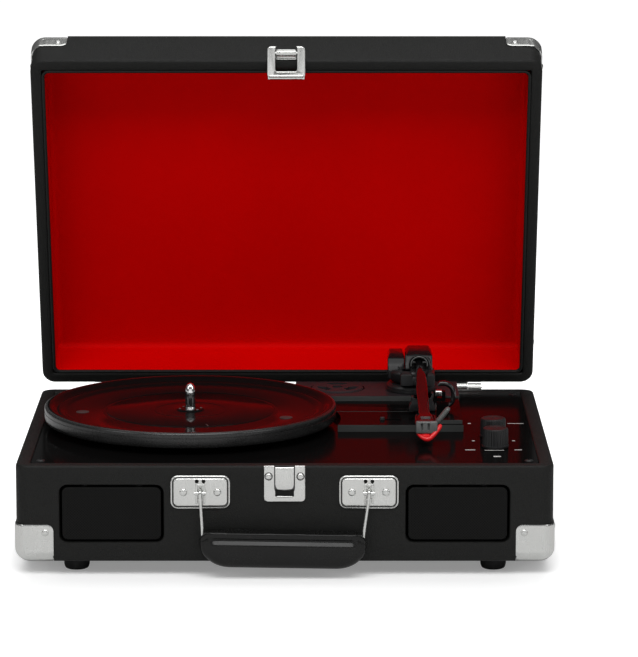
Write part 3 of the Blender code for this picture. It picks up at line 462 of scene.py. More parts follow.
def revolve(bm, profile, steps=64, closed=False, matrix=None):
    rings = []
    for r, z in profile:
        if r < 1e-6:
            rings.append([bm.verts.new((0, 0, z))])
        else:
            rings.append([bm.verts.new((r * math.cos(2 * math.pi * i / steps), r * math.sin(2 * math.pi * i / steps), z))
                          for i in range(steps)])
    pairs = list(zip(rings, rings[1:])) + ([(rings[-1], rings[0])] if closed else [])
    for a, b in pairs:
        for i in range(steps):
            j = (i + 1) % steps
            if len(a) == 1 and len(b) == 1:
                continue
            if len(a) == 1:
                bm.faces.new((a[0], b[j], b[i]))
            elif len(b) == 1:
                bm.faces.new((a[i], a[j], b[0]))
            else:
                bm.faces.new((a[i], a[j], b[j], b[i]))
    if matrix is not None:
        for ring in rings:
            for v in ring:
                v.co = matrix @ v.co
    return bm


def arc(cx, cz, r, a0, a1, n=5):
    return [(cx + r * math.cos(math.radians(a0 + (a1 - a0) * i / n)), cz + r * math.sin(math.radians(a0 + (a1 - a0) * i / n)))
            for i in range(n + 1)]


def dome(bm, x, y, r, h, z=0.0, matrix=None, steps=24, foot=0.6):
    """A low rivet head with a rolled foot on a local XY face."""
    prof = [(0, z + h)] + [(r * math.sin(math.radians(a)), z + h * math.cos(math.radians(a)) ** 0.9) for a in (18, 36, 54, 70, 82)]
    prof += [(r, z), (r, z - foot), (0, z - foot)]
    m = (matrix or Matrix.Identity(4)) @ T((x, y, 0))
    return revolve(bm, prof, steps, matrix=m)


def smooth_path(points, per=6):
    pts = [Vector(p) for p in points]
    out = []
    for i in range(len(pts) - 1):
        p0, p1, p2, p3 = pts[max(i - 1, 0)], pts[i], pts[i + 1], pts[min(i + 2, len(pts) - 1)]
        for k in range(per):
            t = k / per
            out.append(0.5 * ((2 * p1) + (p2 - p0) * t + (2 * p0 - 5 * p1 + 4 * p2 - p3) * t * t + (3 * p1 - p0 - 3 * p2 + p3) * t ** 3))
    out.append(pts[-1])
    return out


def tube(bm, path, radius, sides=16, matrix=None):
    path = [Vector(p) for p in path]
    radii = radius if isinstance(radius, (list, tuple)) else [radius] * len(path)
    rings, up = [], None
    for i, p in enumerate(path):
        t = (path[min(i + 1, len(path) - 1)] - path[max(i - 1, 0)]).normalized()
        if up is None:
            up = Vector((1, 0, 0)) if abs(t.x) < 0.8 else Vector((0, 1, 0))
        up = (up - t * up.dot(t)).normalized()
        side = t.cross(up)
        rings.append([bm.verts.new(p + (up * math.cos(2 * math.pi * k / sides) + side * math.sin(2 * math.pi * k / sides)) * radii[i])
                      for k in range(sides)])
    for a, b in zip(rings, rings[1:]):
        for k in range(sides):
            bm.faces.new((a[k], a[(k + 1) % sides], b[(k + 1) % sides], b[k]))
    bm.faces.new(rings[0][::-1])
    bm.faces.new(rings[-1])
    if matrix is not None:
        for ring in rings:
            for v in ring:
                v.co = matrix @ v.co
    return bm


def soft_box(bm, x, y, z, r=0.6, matrix=None, steps=3):
    """A block between limits with all its edges rounded."""
    (x0, x1), (y0, y1), (z0, z1) = x, y, z
    r = min(r, (x1 - x0) * 0.49, (y1 - y0) * 0.49, (z1 - z0) * 0.49)
    out = rr(x1 - x0, y1 - y0, r, steps, (x0 + x1) / 2, (y0 + y1) / 2)
    prof = [(r - r * math.sin(math.radians(90 * i / steps)), z0 + r - r * math.cos(math.radians(90 * i / steps))) for i in range(steps + 1)]
    prof += [(r - r * math.cos(math.radians(90 * i / steps)), z1 - r + r * math.sin(math.radians(90 * i / steps))) for i in range(steps + 1)]
    return stack(bm, out, prof, matrix=matrix)


def loft(bm, sections, matrix=None, caps=True):
    rings = [[bm.verts.new(Vector(p)) for p in s] for s in sections]
    n = len(rings[0])
    for a, b in zip(rings, rings[1:]):
        for i in range(n):
            bm.faces.new((a[i], a[(i + 1) % n], b[(i + 1) % n], b[i]))
    if caps:
        bm.faces.new(rings[0][::-1])
        bm.faces.new(rings[-1])
    if matrix is not None:
        for ring in rings:
            for v in ring:
                v.co = matrix @ v.co
    return bm


def step(a, b, x):
    t = max(0.0, min(1.0, (x - a) / (b - a)))
    return t * t * (3 - 2 * t)


# ---- case -------------------------------------------------------------------
def shell_profile(z0, z1, wall, floor, edge, rim):
    """From the middle of the underside round the outside, over the rim and
    down the inside to the inner floor."""
    prof = [(edge + 3.0, z0)] + [(edge - edge * math.sin(math.radians(a)), z0 + edge - edge * math.cos(math.radians(a))) for a in (0, 18, 36, 54, 72, 90)]
    prof += [(0.0, z0 + 12.0), (0.0, z1 - 6.0)]
    prof += [(rim - rim * math.cos(math.radians(a)), z1 - rim + rim * math.sin(math.radians(a))) for a in (0, 22, 45, 67, 90)]
    inner = 0.9
    prof += [(wall - inner + inner * math.sin(math.radians(a)), z1 - inner + inner * math.cos(math.radians(a))) for a in (0, 30, 60, 90)]
    return prof + [(wall, floor)]


def corner_cutters(z_a, z_b, span, z_round0, z_round1, matrix):
    """What lies outside the round corners, for the four corner zones."""
    out = []
    for sx in (-1, 1):
        for sy in (-1, 1):
            x = (CASE_W / 2 - span, CASE_W / 2 + 5) if sx > 0 else (-CASE_W / 2 - 5, -CASE_W / 2 + span)
            y = (-5, span) if sy < 0 else (CASE_D - span, CASE_D + 5)
            bm = bmesh.new()
            stack(bm, [(x[0], y[0]), (x[1], y[0]), (x[1], y[1]), (x[0], y[1])], [(0, z_a), (0, z_b)])
            zone = raw("zone", bm, matrix)
            bm = bmesh.new()
            soft_box(bm, (-CASE_W / 2 - 0.02, CASE_W / 2 + 0.02), (-0.02, CASE_D + 0.02), (z_round0, z_round1), 9.0, steps=8)
            out.append(boolean(zone, [raw("round", bm, matrix)]))
    return out


bm = bmesh.new()
stack(bm, rr(CASE_W, CASE_D, 9.0, 12, 0, CASE_D / 2), shell_profile(FOOT_H, CASE_TOP, CASE_WALL, FOOT_H + 6.0, 2.0, 1.5))
base = raw("case_body", bm, BASE_M)
cutters = corner_cutters(FOOT_H - 5, FOOT_H + 25.2, 25.2, FOOT_H - 0.02, CASE_TOP + 60, BASE_M)
for sx in (-1, 1):
    bm = bmesh.new()
    # the mouth of the speaker opening is rolled in over 1 mm
    stack(bm, rr(GRILLE_W + 1.2, GRILLE_H + 1.2, 5.6, 6, sx * SPEAKER_X, SPEAKER_Z),
          [(0.0, 2.0), (0.0, 0.0), (0.28, -0.35), (0.6, -1.0), (0.6, -12.0)], matrix=FRONT)
    cutters.append(raw("speaker_mouth", bm, BASE_M))
bm = bmesh.new()
soft_box(bm, (-46, 46), (CASE_D - 2.2, CASE_D + 5), (30, 58), 0.5)
cutters.append(raw("jack_pocket", bm, BASE_M))
boolean(base, cutters)
wear(base, "base", LEATHER, "base_case", "leatherette", 40)

bm = bmesh.new()
stack(bm, rr(CASE_W, CASE_D, 9.0, 12, 0, CASE_D / 2),
      [(d, RIM_Z + LID_H - (z - FOOT_H)) for d, z in shell_profile(FOOT_H, FOOT_H + LID_H, LID_WALL, FOOT_H + LID_ROOF, 2.0, 1.5)])
lid = raw("lid_shell", bm, LID_M)
boolean(lid, corner_cutters(RIM_Z + LID_H - 19.2, RIM_Z + LID_H + 5, 24.2, RIM_Z - 60, RIM_Z + LID_H + 0.02, LID_M))
wear(lid, "lid", LEATHER, "lid_case", "leatherette", 40)

# ---- red lining of the lid: a thin tray with soft inside corners --------------
lining_w, lining_d = CASE_W - 2 * LID_WALL - 0.6, CASE_D - 2 * LID_WALL - 0.6
lining_top = RIM_Z + LID_H - LID_ROOF - 0.3
bm = bmesh.new()
R_IN = 4.2
tray = [(3.0, lining_top), (0.8, lining_top), (0.1, lining_top - 0.7), (0.0, lining_top - 2.0), (0.0, RIM_Z + 2.5),
        (0.2, RIM_Z + 2.4), (0.6, RIM_Z + 2.35), (1.0, RIM_Z + 2.4), (1.2, RIM_Z + 2.5)]
tray += [(1.2 + R_IN - R_IN * math.cos(math.radians(a)), lining_top - 1.2 - R_IN + R_IN * math.sin(math.radians(a)))
         for a in (0, 12, 25, 38, 50, 62, 75, 90)]
tray += [(9.0, lining_top - 1.2)]
stack(bm, rr(lining_w, lining_d, 5.0, 10, 0, CASE_D / 2), tray)
piece("lid_lining", bm, LID_M, "lid", LINER, "lid_liner", "liner_red", 50)
# the leatherette is turned in over the lining's edge
bm = bmesh.new()
stack(bm, rr(CASE_W - 2 * LID_WALL - 0.1, CASE_D - 2 * LID_WALL - 0.1, 5.3, 10, 0, CASE_D / 2),
      [(0.0, RIM_Z + 0.6), (0.1, RIM_Z + 0.2), (0.5, RIM_Z + 0.0), (1.5, RIM_Z + 0.05), (1.95, RIM_Z + 0.35), (2.15, RIM_Z + 0.9),
       (2.15, RIM_Z + 1.7), (2.0, RIM_Z + 2.1), (1.7, RIM_Z + 2.25), (1.3, RIM_Z + 2.25), (0.26, RIM_Z + 2.0), (0.0, RIM_Z + 1.8)], True)
piece("lid_turn_in", bm, LID_M, "lid", LEATHER, slot="leatherette", angle=45)


# ---- metal corner protectors --------------------------------------------------
def protector(name, sx, sy, z_corner, up, span, height, matrix, body, replaces):
    """A pressed cap over a corner. (a, b, c) run inwards from the corner along
    x, y and z. A raised roll follows the outer edges round a flat panel."""
    R, t = 9.0, 0.3
    x0, y0 = sx * CASE_W / 2, (0.0 if sy < 0 else CASE_D)
    n = 52
    m = int(n * height / span)
    bm = bmesh.new()

    def lift(u, w, wmax):
        """Height of the pressing on one face, u along the face, w towards the
        free edge, both from the corner."""
        roll = 0.75 * (1 - step(5.6, 7.2, u)) + 0.75 * (1 - step(6.2, 8.2, w)) - 0.6 * (1 - step(5.6, 7.2, u)) * (1 - step(6.2, 8.2, w))
        crown = 0.22 * math.exp(-((u - 4.6) / 1.6) ** 2) * step(6, 9, w)
        slot = -0.55 * math.exp(-((u - 7.6) / 0.42) ** 2) * step(8.6, 9.6, w) * (1 - step(wmax - 2.4, wmax - 1.2, w))
        tick = -0.35 * math.exp(-((w - (wmax - 10.4)) / 0.40) ** 2) * step(16.6, 17.6, u) * (1 - step(21.8, 22.8, u)) if wmax > 20 else 0.0
        return roll + crown + slot + tick

    def place(a, b, c, skin):
        """A point of the corner's cube pushed onto the rounded corner."""
        p = Vector((a, b, c))
        q = Vector((max(a, R), max(b, R), max(c, R)))
        d = p - q
        if d.length < 1e-6:
            return p, Vector((0, 0, 0))
        d.normalize()
        return q + d * (R + skin), d

    def edge_round(u, w, umax, wmax, r=4.4):
        """Square corner of a face's outline drawn in to a round one."""
        du, dw = u - (umax - r), w - (wmax - r)
        if du > 0 and dw > 0:
            k = max(du, dw) / math.hypot(du, dw)
            return umax - r + du * k, wmax - r + dw * k
        return u, w

    grids = []
    for face in ("front", "side", "bottom"):
        umax = span
        wmax = height if face != "bottom" else span
        cols, rows = n, (m if face != "bottom" else n)
        outer, inner = [], []
        for i in range(cols + 1):
            ro, ri = [], []
            for j in range(rows + 1):
                u, w = umax * i / cols, wmax * j / rows
                uu, ww = edge_round(u, w, umax, wmax)
                if face == "front":
                    abc, h = (uu, 0.0, ww), lift(uu, ww, wmax)
                elif face == "side":
                    abc, h = (0.0, uu, ww), lift(uu, ww, wmax)
                else:
                    abc, h = (uu, ww, 0.0), 0.75 * (1 - step(5.6, 7.2, min(uu, ww)))
                # the roll fades in from the round edges so the faces meet
                h = h * 0.55
                border = min(umax - u, wmax - w)
                h -= 0.30 * (1 - step(0.0, 0.9, border))
                p, d = place(*abc, t + 0.75 + h)
                q, _ = place(*abc, t)
                ro.append(p)
                ri.append(q)
            outer.append(ro)
            inner.append(ri)
        vo = [[bm.verts.new(p) for p in r] for r in outer]
        vi = [[bm.verts.new(p) for p in r] for r in inner]
        for i in range(cols):
            for j in range(rows):
                bm.faces.new((vo[i][j], vo[i + 1][j], vo[i + 1][j + 1], vo[i][j + 1]))
                bm.faces.new((vi[i][j], vi[i][j + 1], vi[i + 1][j + 1], vi[i + 1][j]))
        for i in range(cols):
            bm.faces.new((vo[i][rows], vo[i + 1][rows], vi[i + 1][rows], vi[i][rows]))
        for j in range(rows):
            bm.faces.new((vo[cols][j], vo[cols][j + 1], vi[cols][j + 1], vi[cols][j]))
        grids.append((vo, vi))
    # a rivet on each upright face
    for face in ("front", "side"):
        if height > 20:
            uc, wc = span - 5.4, height - 5.2
        else:
            uc, wc = span - 6.0, height - 5.6
        base_h = t + 0.75
        prof = [(0, base_h + 1.15)] + [(2.3 * math.sin(math.radians(a)), base_h + 1.15 * math.cos(math.radians(a))) for a in (20, 40, 60, 78)]
        prof += [(2.35, base_h - 0.1), (0, base_h - 0.1)]
        if face == "front":
            mm = T((uc, 0, wc)) @ Matrix.Rotation(math.pi / 2, 4, "X")
        else:
            mm = T((0, uc, wc)) @ Matrix.Rotation(-math.pi / 2, 4, "Y")
        revolve(bm, prof, 20, matrix=mm)
    for v in bm.verts:
        a, b, c = v.co
        v.co = Vector((x0 - sx * a, y0 + b if sy < 0 else y0 - b, z_corner + c * up))
    bmesh.ops.remove_doubles(bm, verts=bm.verts, dist=1e-3)
    return piece(name, bm, matrix, body, NICKEL, replaces, "nickel", 50, merge=False)


for where, sx, sy in (("front_left", -1, -1), ("front_right", 1, -1), ("back_left", -1, 1), ("back_right", 1, 1)):
    protector(where + "_base_protector", sx, sy, FOOT_H, 1, 25.0, 25.0, BASE_M, "base", where + "_base_corner")
    protector(where + "_lid_protector", sx, sy, RIM_Z + LID_H, -1, 24.0, 19.0, LID_M, "lid", where + "_lid_corner")
    # rubber foot with a rolled shoulder and a screw recess underneath
    bm = bmesh.new()
    y = 24.0 if sy < 0 else CASE_D - 24.0
    prof = [(0, 9.7), (8.9, 9.7), (9.2, 9.3), (9.2, 8.2), (8.9, 7.6), (8.75, 6.0), (8.5, 3.0), (8.1, 1.4), (7.5, 0.5), (6.7, 0.08), (6.0, 0.0),
            (3.6, 0.0), (3.3, 0.25), (3.2, 2.6), (0, 2.6)]
    revolve(bm, prof, 48, matrix=T((sx * 139.0, y, 0)))
    piece(where + "_rubber_foot", bm, BASE_M, "base", RUBBER, where + "_foot", "foot_rubber")

# ---- speaker grilles ----------------------------------------------------------
for side, sx in (("left", -1), ("right", 1)):
    bm = bmesh.new()
    out = rr(GRILLE_W - 3.0, GRILLE_H - 3.0, 3.9, 6, sx * SPEAKER_X, SPEAKER_Z)
    stack(bm, out, [(3.0, -2.9), (0.3, -2.9), (0.0, -2.6), (0.0, -1.1), (0.2, -0.65), (0.6, -0.42), (1.4, -0.38), (3.2, -0.38)], matrix=FRONT)
    piece(side + "_grille_panel", bm, BASE_M, "base", GRILLE, side + "_speaker_grille", "grille_cloth", 30)

# ---- handle brackets ----------------------------------------------------------
for side, sx in (("left", -1), ("right", 1)):
    m = T((sx * BRACKET_X, -0.3, BRACKET_Z)) @ FRONT
    bm = bmesh.new()
    lip = [(3.0, 0.0), (0.0, 0.0), (0.0, 0.45), (0.12, 0.85), (0.4, 1.15), (0.75, 1.25), (1.1, 1.12), (1.3, 0.8), (1.42, 0.25), (1.85, 0.22),
           (1.98, 0.7), (2.25, 1.1), (2.7, 1.28), (3.4, 1.32), (4.2, 1.32)]
    stack(bm, rr(39.5, 22.6, 4.9, 8), lip, matrix=m)
    for dx in (-11.2, 11.2):
        dome(bm, dx, 0, 2.55, 1.25, 1.30, m)
        revolve(bm, [(3.05, 1.28), (3.0, 1.38), (2.6, 1.36), (2.6, 1.0)], 24, True, m @ T((dx, 0, 0)))
    plate = raw("bracket", bm, BASE_M)
    holes = []
    for dx in (-2.2, 2.2):
        bm = bmesh.new()
        stack(bm, circle(1.3, 20, dx, 7.3), [(0, -3), (0, 4)], matrix=m)
        holes.append(raw("hole", bm, BASE_M))
    bm = bmesh.new()
    stack(bm, rounded(2.6, 17.0, 1.2, 4, 0.0, -1.2), [(0, 0.35), (0, 4)], matrix=m)
    holes.append(raw("channel", bm, BASE_M))
    boolean(plate, holes)
    plate.name = side + "_bracket_plate"
    wear(plate, "base", [NICKEL, PAINTED_GROOVE_SHADE], side + "_handle_bracket", "nickel", 35)
    bx = sx * BRACKET_X
    # the groove inside the bracket's lip gets the darker nickel: painted shade
    repaint(plate, lambda c, n: (-(c.y + MID_Y) - 0.3 < 0.75 and -(c.y + MID_Y) - 0.3 > 0.15
                                 and (abs(c.x - bx) > 16.0 or abs(c.z - BRACKET_Z) > 8.0)
                                 and abs(c.x - bx) < 18.7 and abs(c.z - BRACKET_Z) < 10.3))
    # the folded strap that holds the wire's eye
    bm = bmesh.new()
    for dx in (-2.45, 2.45):
        soft_box(bm, (sx * BRACKET_X + dx - 0.75, sx * BRACKET_X + dx + 0.75), (-2.7, -0.8), (BRACKET_Z - 7.6, BRACKET_Z + 6.0), 0.5)
        tube(bm, [(sx * BRACKET_X + dx - 0.72, -4.6, BRACKET_Z), (sx * BRACKET_X + dx + 0.72, -4.6, BRACKET_Z)], 1.45, 20)
        soft_box(bm, (sx * BRACKET_X + dx - 0.6, sx * BRACKET_X + dx + 0.6), (-4.7, -2.0), (BRACKET_Z - 1.2, BRACKET_Z + 1.2), 0.3)
    for dz in (-5.0, 4.6):
        soft_box(bm, (sx * BRACKET_X - 2.6, sx * BRACKET_X + 2.6), (-1.95, -0.9), (BRACKET_Z + dz - 0.8, BRACKET_Z + dz + 0.8), 0.35)
    piece(side + "_bracket_strap", bm, BASE_M, "base", NICKEL, slot="nickel")

# ---- handle: wires and moulded grip -------------------------------------------
HAN_Y, GRIP_TOP = -4.6, 32.0
GRIP_X, SOCKET_X, TILT = -1.0, 53.0, 0.0155
for side, sx in (("left", -1), ("right", 1)):
    ex, gx = sx * BRACKET_X, GRIP_X + sx * SOCKET_X
    pts = [(ex - sx * 0.3, -4.6 + 1.5, BRACKET_Z + 0.6), (ex, -4.6 + 0.2, BRACKET_Z + 1.9), (ex, -4.6 - 1.5, BRACKET_Z + 0.8),
           (ex, -4.6 - 1.9, BRACKET_Z - 1.5), (ex + (gx - ex) * 0.12, -4.6 - 1.8, BRACKET_Z - 5), (ex + (gx - ex) * 0.48, -4.6 - 2.5, BRACKET_Z - 14),
           (ex + (gx - ex) * 0.8, -4.6 - 3.2, BRACKET_Z - 22), (gx, -4.6 - 3.4, BRACKET_Z - 28.0), (gx, -4.6 - 3.4, BRACKET_Z - 31.0)]
    bm = bmesh.new()
    tube(bm, smooth_path(pts, 8), 1.1, 16)
    # the eye runs round the bracket's cross wire
    tube(bm, [(ex - 3.9, -4.6, BRACKET_Z), (ex + 3.9, -4.6, BRACKET_Z)], 1.0, 14)
    piece(side + "_wire_bail", bm, BASE_M, "handle", NICKEL, side + "_handle_bail", "nickel")


def grip_section(x):
    """Cross-section of the grip: (y, z) points, front at -y. A rolled top edge
    stands over a hollow, then a ridge, then a round belly."""
    ax = abs(x)
    c = 1 - step(45.0, 49.0, ax)                      # the hollow and the ridge run out before the ends
    e = step(44.0, 55.2, ax)
    bottom = -24.4 + (0.0 if ax < 35 else 24.4 * (1 - math.sqrt(max(0.0, 1 - min(1.0, (ax - 35.0) / 21.6) ** 2))) * 0.80)
    top = -0.2 - 4.0 * step(49.5, 55.4, ax)
    half = 7.3 - 3.6 * e ** 1.6
    top_front = [(-5.2, 0.0), (-6.2, -0.15), (-6.6, -0.5), (-6.7, -1.4), (-6.7, -2.6), (-6.55, -3.6)]
    hollow = [(-5.6, -4.1), (-5.3, -4.6), (-5.3, -5.0), (-5.4, -5.4), (-5.7, -5.9), (-6.8, -7.6), (-7.15, -8.2), (-7.3, -9.0)]
    plain = [(-6.7, -4.2), (-6.85, -4.7), (-6.95, -5.2), (-7.05, -5.8), (-7.12, -6.4), (-7.22, -7.6), (-7.28, -8.3), (-7.3, -9.0)]
    k = half / 7.3
    room = min(1.0, (top - bottom - 1.0) / 14.0)
    pts = [(y * k, top + z * room) for y, z in top_front]
    pts += [((a[0] * c + b[0] * (1 - c)) * k, top + (a[1] * c + b[1] * (1 - c)) * room) for a, b in zip(hollow, plain)]
    z0 = pts[-1][1] - 0.8 * room
    low = z0 - bottom
    for a in (4, 14, 26, 38, 50, 62, 73, 82):
        pts.append((-half * math.cos(math.radians(a)) ** 0.62, z0 - low * math.sin(math.radians(a)) ** 1.15))
    pts.append((0.0, bottom))
    for a in (82, 73, 62, 50, 38, 26, 14, 4):
        pts.append((half * math.cos(math.radians(a)) ** 0.62, z0 - low * math.sin(math.radians(a)) ** 1.15))
    pts += [(half, top - 7.0 * room), (half * 0.985, top - 4.0 * room), (half * 0.95, top - 2.2 * room), (half * 0.93, top - 1.0 * room),
            (half * 0.83, top - 0.25 * room), (half * 0.60, top), (0.0, top + 0.08)]
    return pts


bm = bmesh.new()
half_xs = [0, 10, 20, 28, 33, 36, 39, 41.5, 43.5, 45, 46, 47, 48, 49, 50, 51, 52, 53, 53.9, 54.6, 55.0, 55.2]
xs = [-x for x in half_xs[:0:-1]] + half_xs
sections = []
for x in xs:
    k = 1.0 - 0.55 * step(53.0, 55.3, abs(x)) ** 2
    sec = grip_section(x)
    mid_z = sum(p[1] for p in sec) / len(sec)
    sections.append([(GRIP_X + x, HAN_Y - 3.4 + y * k, GRIP_TOP + 0.3 + mid_z + (z - mid_z) * k - TILT * x) for y, z in sec])
loft(bm, sections)
piece("moulded_grip", bm, BASE_M, "handle", GRIP, "handle_grip", "black_plastic", 60)

# ---- catch plate on the base ----------------------------------------------------
m = T((0, -0.3, 50.7)) @ FRONT
bm = bmesh.new()
out = soften([(-13.65, 24.4), (-13.65, 0), (13.65, 0), (13.65, 24.4)], 3.0, 6)
corner = [p for p in out if p[1] < 12.0]
out = [(-13.65, 24.4)] + [p for p in corner if p[0] < 0] + [p for p in corner if p[0] >= 0] + [(13.65, 24.4)]
stack(bm, out, [(0.6, 0), (0.0, 0), (0.0, 0.55), (0.12, 0.85), (0.35, 1.02), (0.7, 1.08)], matrix=m)
plate = raw("catch_plate_body", bm, BASE_M)
tools = []
bm = bmesh.new()
stack(bm, soften([(-6.2, 8.4), (-6.2, 3.6), (6.2, 3.6), (6.2, 8.4)], 0.5, 2), [(0, -2), (0, 4)], matrix=m)
tools.append(raw("slot", bm, BASE_M))
bm = bmesh.new()
# the recess the tongue moves in, open at the top
stack(bm, soften([(-6.9, 30.0), (-6.9, 9.0), (-6.3, 6.9), (6.3, 6.9), (6.9, 9.0), (6.9, 30.0)], 0.8, 3), [(0, 0.35), (0, 4)], matrix=m)
tools.append(raw("recess", bm, BASE_M))
for dx in (-10.5, 10.5):
    bm = bmesh.new()
    revolve(bm, [(0, 4), (2.75, 4), (2.75, 0.75), (0, 0.75)][::-1], 24, matrix=m @ T((dx, 17.2, 0)))
    tools.append(raw("rivet_seat", bm, BASE_M))
boolean(plate, tools)
plate.name = "catch_plate"
wear(plate, "base", [NICKEL, PAINTED_GROOVE_SHADE], "latch_plate", "nickel", 35)
# the tongue's recess and the rivet seats get the darker nickel: painted shade
repaint(plate, lambda c, n: -(c.y + MID_Y) - 0.3 < 0.95 and c.z > 50.7 + 6.0 and (abs(c.x) < 6.95 or any(
    math.hypot(c.x - dx, c.z - 50.7 - 17.2) < 2.8 for dx in (-10.5, 10.5))))
bm = bmesh.new()
for dx in (-10.5, 10.5):
    dome(bm, dx, 17.2, 2.4, 1.5, 0.95, m)
# the lip under the slot
soft_box(bm, (-5.4, 5.4), (2.9, 4.1), (0.6, 1.6), 0.45, m)
piece("catch_plate_rivets", bm, BASE_M, "base", NICKEL, slot="nickel", angle=35)

bm = bmesh.new()
sections = []
for z, y_out, w in ((73.3, -2.85, 6.0), (73.0, -3.1, 6.05), (72.4, -3.25, 6.1), (70.0, -3.35, 6.1), (66.0, -3.5, 6.1), (62.0, -3.55, 6.05), (60.2, -3.45, 5.7),
                    (58.8, -3.2, 4.9), (58.0, -2.85, 3.9), (57.7, -2.5, 3.2)):
    y_in = y_out + 1.15
    k = 7
    ring = [(w * (-1 + 2 * i / k), y_out + 0.35 * abs(-1 + 2 * i / k) ** 3, z + 1.0) for i in range(k + 1)]
    ring += [(w * (1 - 2 * i / k), y_in, z + 1.0) for i in range(k + 1)]
    sections.append(ring)
loft(bm, sections)
piece("catch_tongue_plate", bm, BASE_M, "catch_tongue", NICKEL, "latch_tongue", "nickel", 35)

# ---- hasp on the lid ------------------------------------------------------------
HASP = T((0, 174.8468983266104, 328.45761101143154))
m = HASP @ FRONT
bm = bmesh.new()
outer = soften([(-13.35, -15.2), (-12.2, -18.5), (12.2, -18.5), (13.35, -15.2), (13.35, 4.7), (-13.35, 4.7)], 3.4, 6)
inner = soften([(-7.4, -12.6), (7.4, -12.6), (7.4, 4.9), (-7.4, 4.9)], 1.6, 6)
# an outline ring: the inner outline cut out of the outer one


def resample(outline, n):
    pts = [Vector(p) for p in outline] + [Vector(outline[0])]
    lengths = [0.0]
    for a, b in zip(pts, pts[1:]):
        lengths.append(lengths[-1] + (b - a).length)
    out, k = [], 0
    for i in range(n):
        s = lengths[-1] * i / n
        while lengths[k + 1] < s:
            k += 1
        seg = lengths[k + 1] - lengths[k]
        out.append(pts[k].lerp(pts[k + 1], (s - lengths[k]) / seg if seg > 1e-9 else 0.0))
    return out


body = raw("ring_body", stack(bmesh.new(), outer, [(0.5, -1.0), (0.12, -0.85), (0.0, -0.5), (0.0, 0.45), (0.22, 0.9), (0.55, 1.12), (0.9, 1.2)],
                              matrix=m), BASE_M)
hole = raw("ring_hole", stack(bmesh.new(), inner, [(0.0, -4), (0.0, 0.6), (-0.25, 1.0), (-0.8, 1.4), (-0.8, 4)], matrix=m), BASE_M)
boolean(body, [hole])
bm = bmesh.new()
bm.from_mesh(body.data)
bm.transform(BASE_M.inverted())
bpy.data.objects.remove(body, do_unlink=True)
# the folded lower bar with its two small ears, and the pin
tube(bm, [(-11.4, -16.0, 1.0), (11.4, -16.0, 1.0)], 1.15, 16, m)
for sgn in (-1, 1):
    soft_box(bm, (sgn * 11.9 - 0.9, sgn * 11.9 + 0.9), (-18.5, -15.6), (-0.6, 1.2), 0.5, m)
tube(bm, [(-8.4, 0, 0), (8.4, 0, 0)], 1.1, 14, m)
piece("hasp_loop", bm, BASE_M, "hasp", NICKEL, "hasp_ring", "nickel", 40)

# plate, web and rolled knuckle on the lid; closed-lid coordinates
HY_, HZ_ = -5.8, RIM_Z + 0.5
bm = bmesh.new()
roll = [(HY_ + 2.65 * math.cos(math.radians(a)), HZ_ + 2.65 * math.sin(math.radians(a))) for a in range(150, -181, -22)]
hollow = [(HY_ + 1.5 * math.cos(math.radians(a)), HZ_ + 1.5 * math.sin(math.radians(a))) for a in range(150, -181, -22)]
for x0, x1 in ((-6.9, 6.9),):
    ring = []
    n = 20
    outer_v = [[bm.verts.new((x, HY_ + 2.65 * math.cos(2 * math.pi * i / n), HZ_ + 2.65 * math.sin(2 * math.pi * i / n))) for i in range(n)] for x in (x0, x0 + 0.3, x1 - 0.3, x1)]
    inner_v = [[bm.verts.new((x, HY_ + 1.5 * math.cos(2 * math.pi * i / n), HZ_ + 1.5 * math.sin(2 * math.pi * i / n))) for i in range(n)] for x in (x0, x1)]
    for k, shrink in ((0, 0.93), (3, 0.93)):
        for v in outer_v[k]:
            v.co = Vector((v.co.x, HY_ + (v.co.y - HY_) * shrink, HZ_ + (v.co.z - HZ_) * shrink))
    for a, b in zip(outer_v, outer_v[1:]):
        for i in range(n):
            bm.faces.new((a[i], a[(i + 1) % n], b[(i + 1) % n], b[i]))
    for i in range(n):
        bm.faces.new((inner_v[0][i], inner_v[1][i], inner_v[1][(i + 1) % n], inner_v[0][(i + 1) % n]))
        bm.faces.new((outer_v[0][i], inner_v[0][i], inner_v[0][(i + 1) % n], outer_v[0][(i + 1) % n]))
        bm.faces.new((outer_v[3][i], outer_v[3][(i + 1) % n], inner_v[1][(i + 1) % n], inner_v[1][i]))
soft_box(bm, (-6.9, 6.9), (HY_ + 2.0, -0.4), (HZ_ + 0.7, HZ_ + 2.4), 0.4)
soft_box(bm, (-6.95, 6.95), (-1.5, -0.3), (RIM_Z + 0.6, RIM_Z + 13.0), 0.45)
mm = T((0, -1.5, RIM_Z + 7.6)) @ FRONT
for dx in (-3.6, 3.6):
    dome(bm, dx, 1.6, 1.7, 0.75, 0.0, mm, 18, 0.4)
piece("hasp_knuckle_plate", bm, LID_M, "lid", NICKEL, "hasp_mount", "nickel", 35)

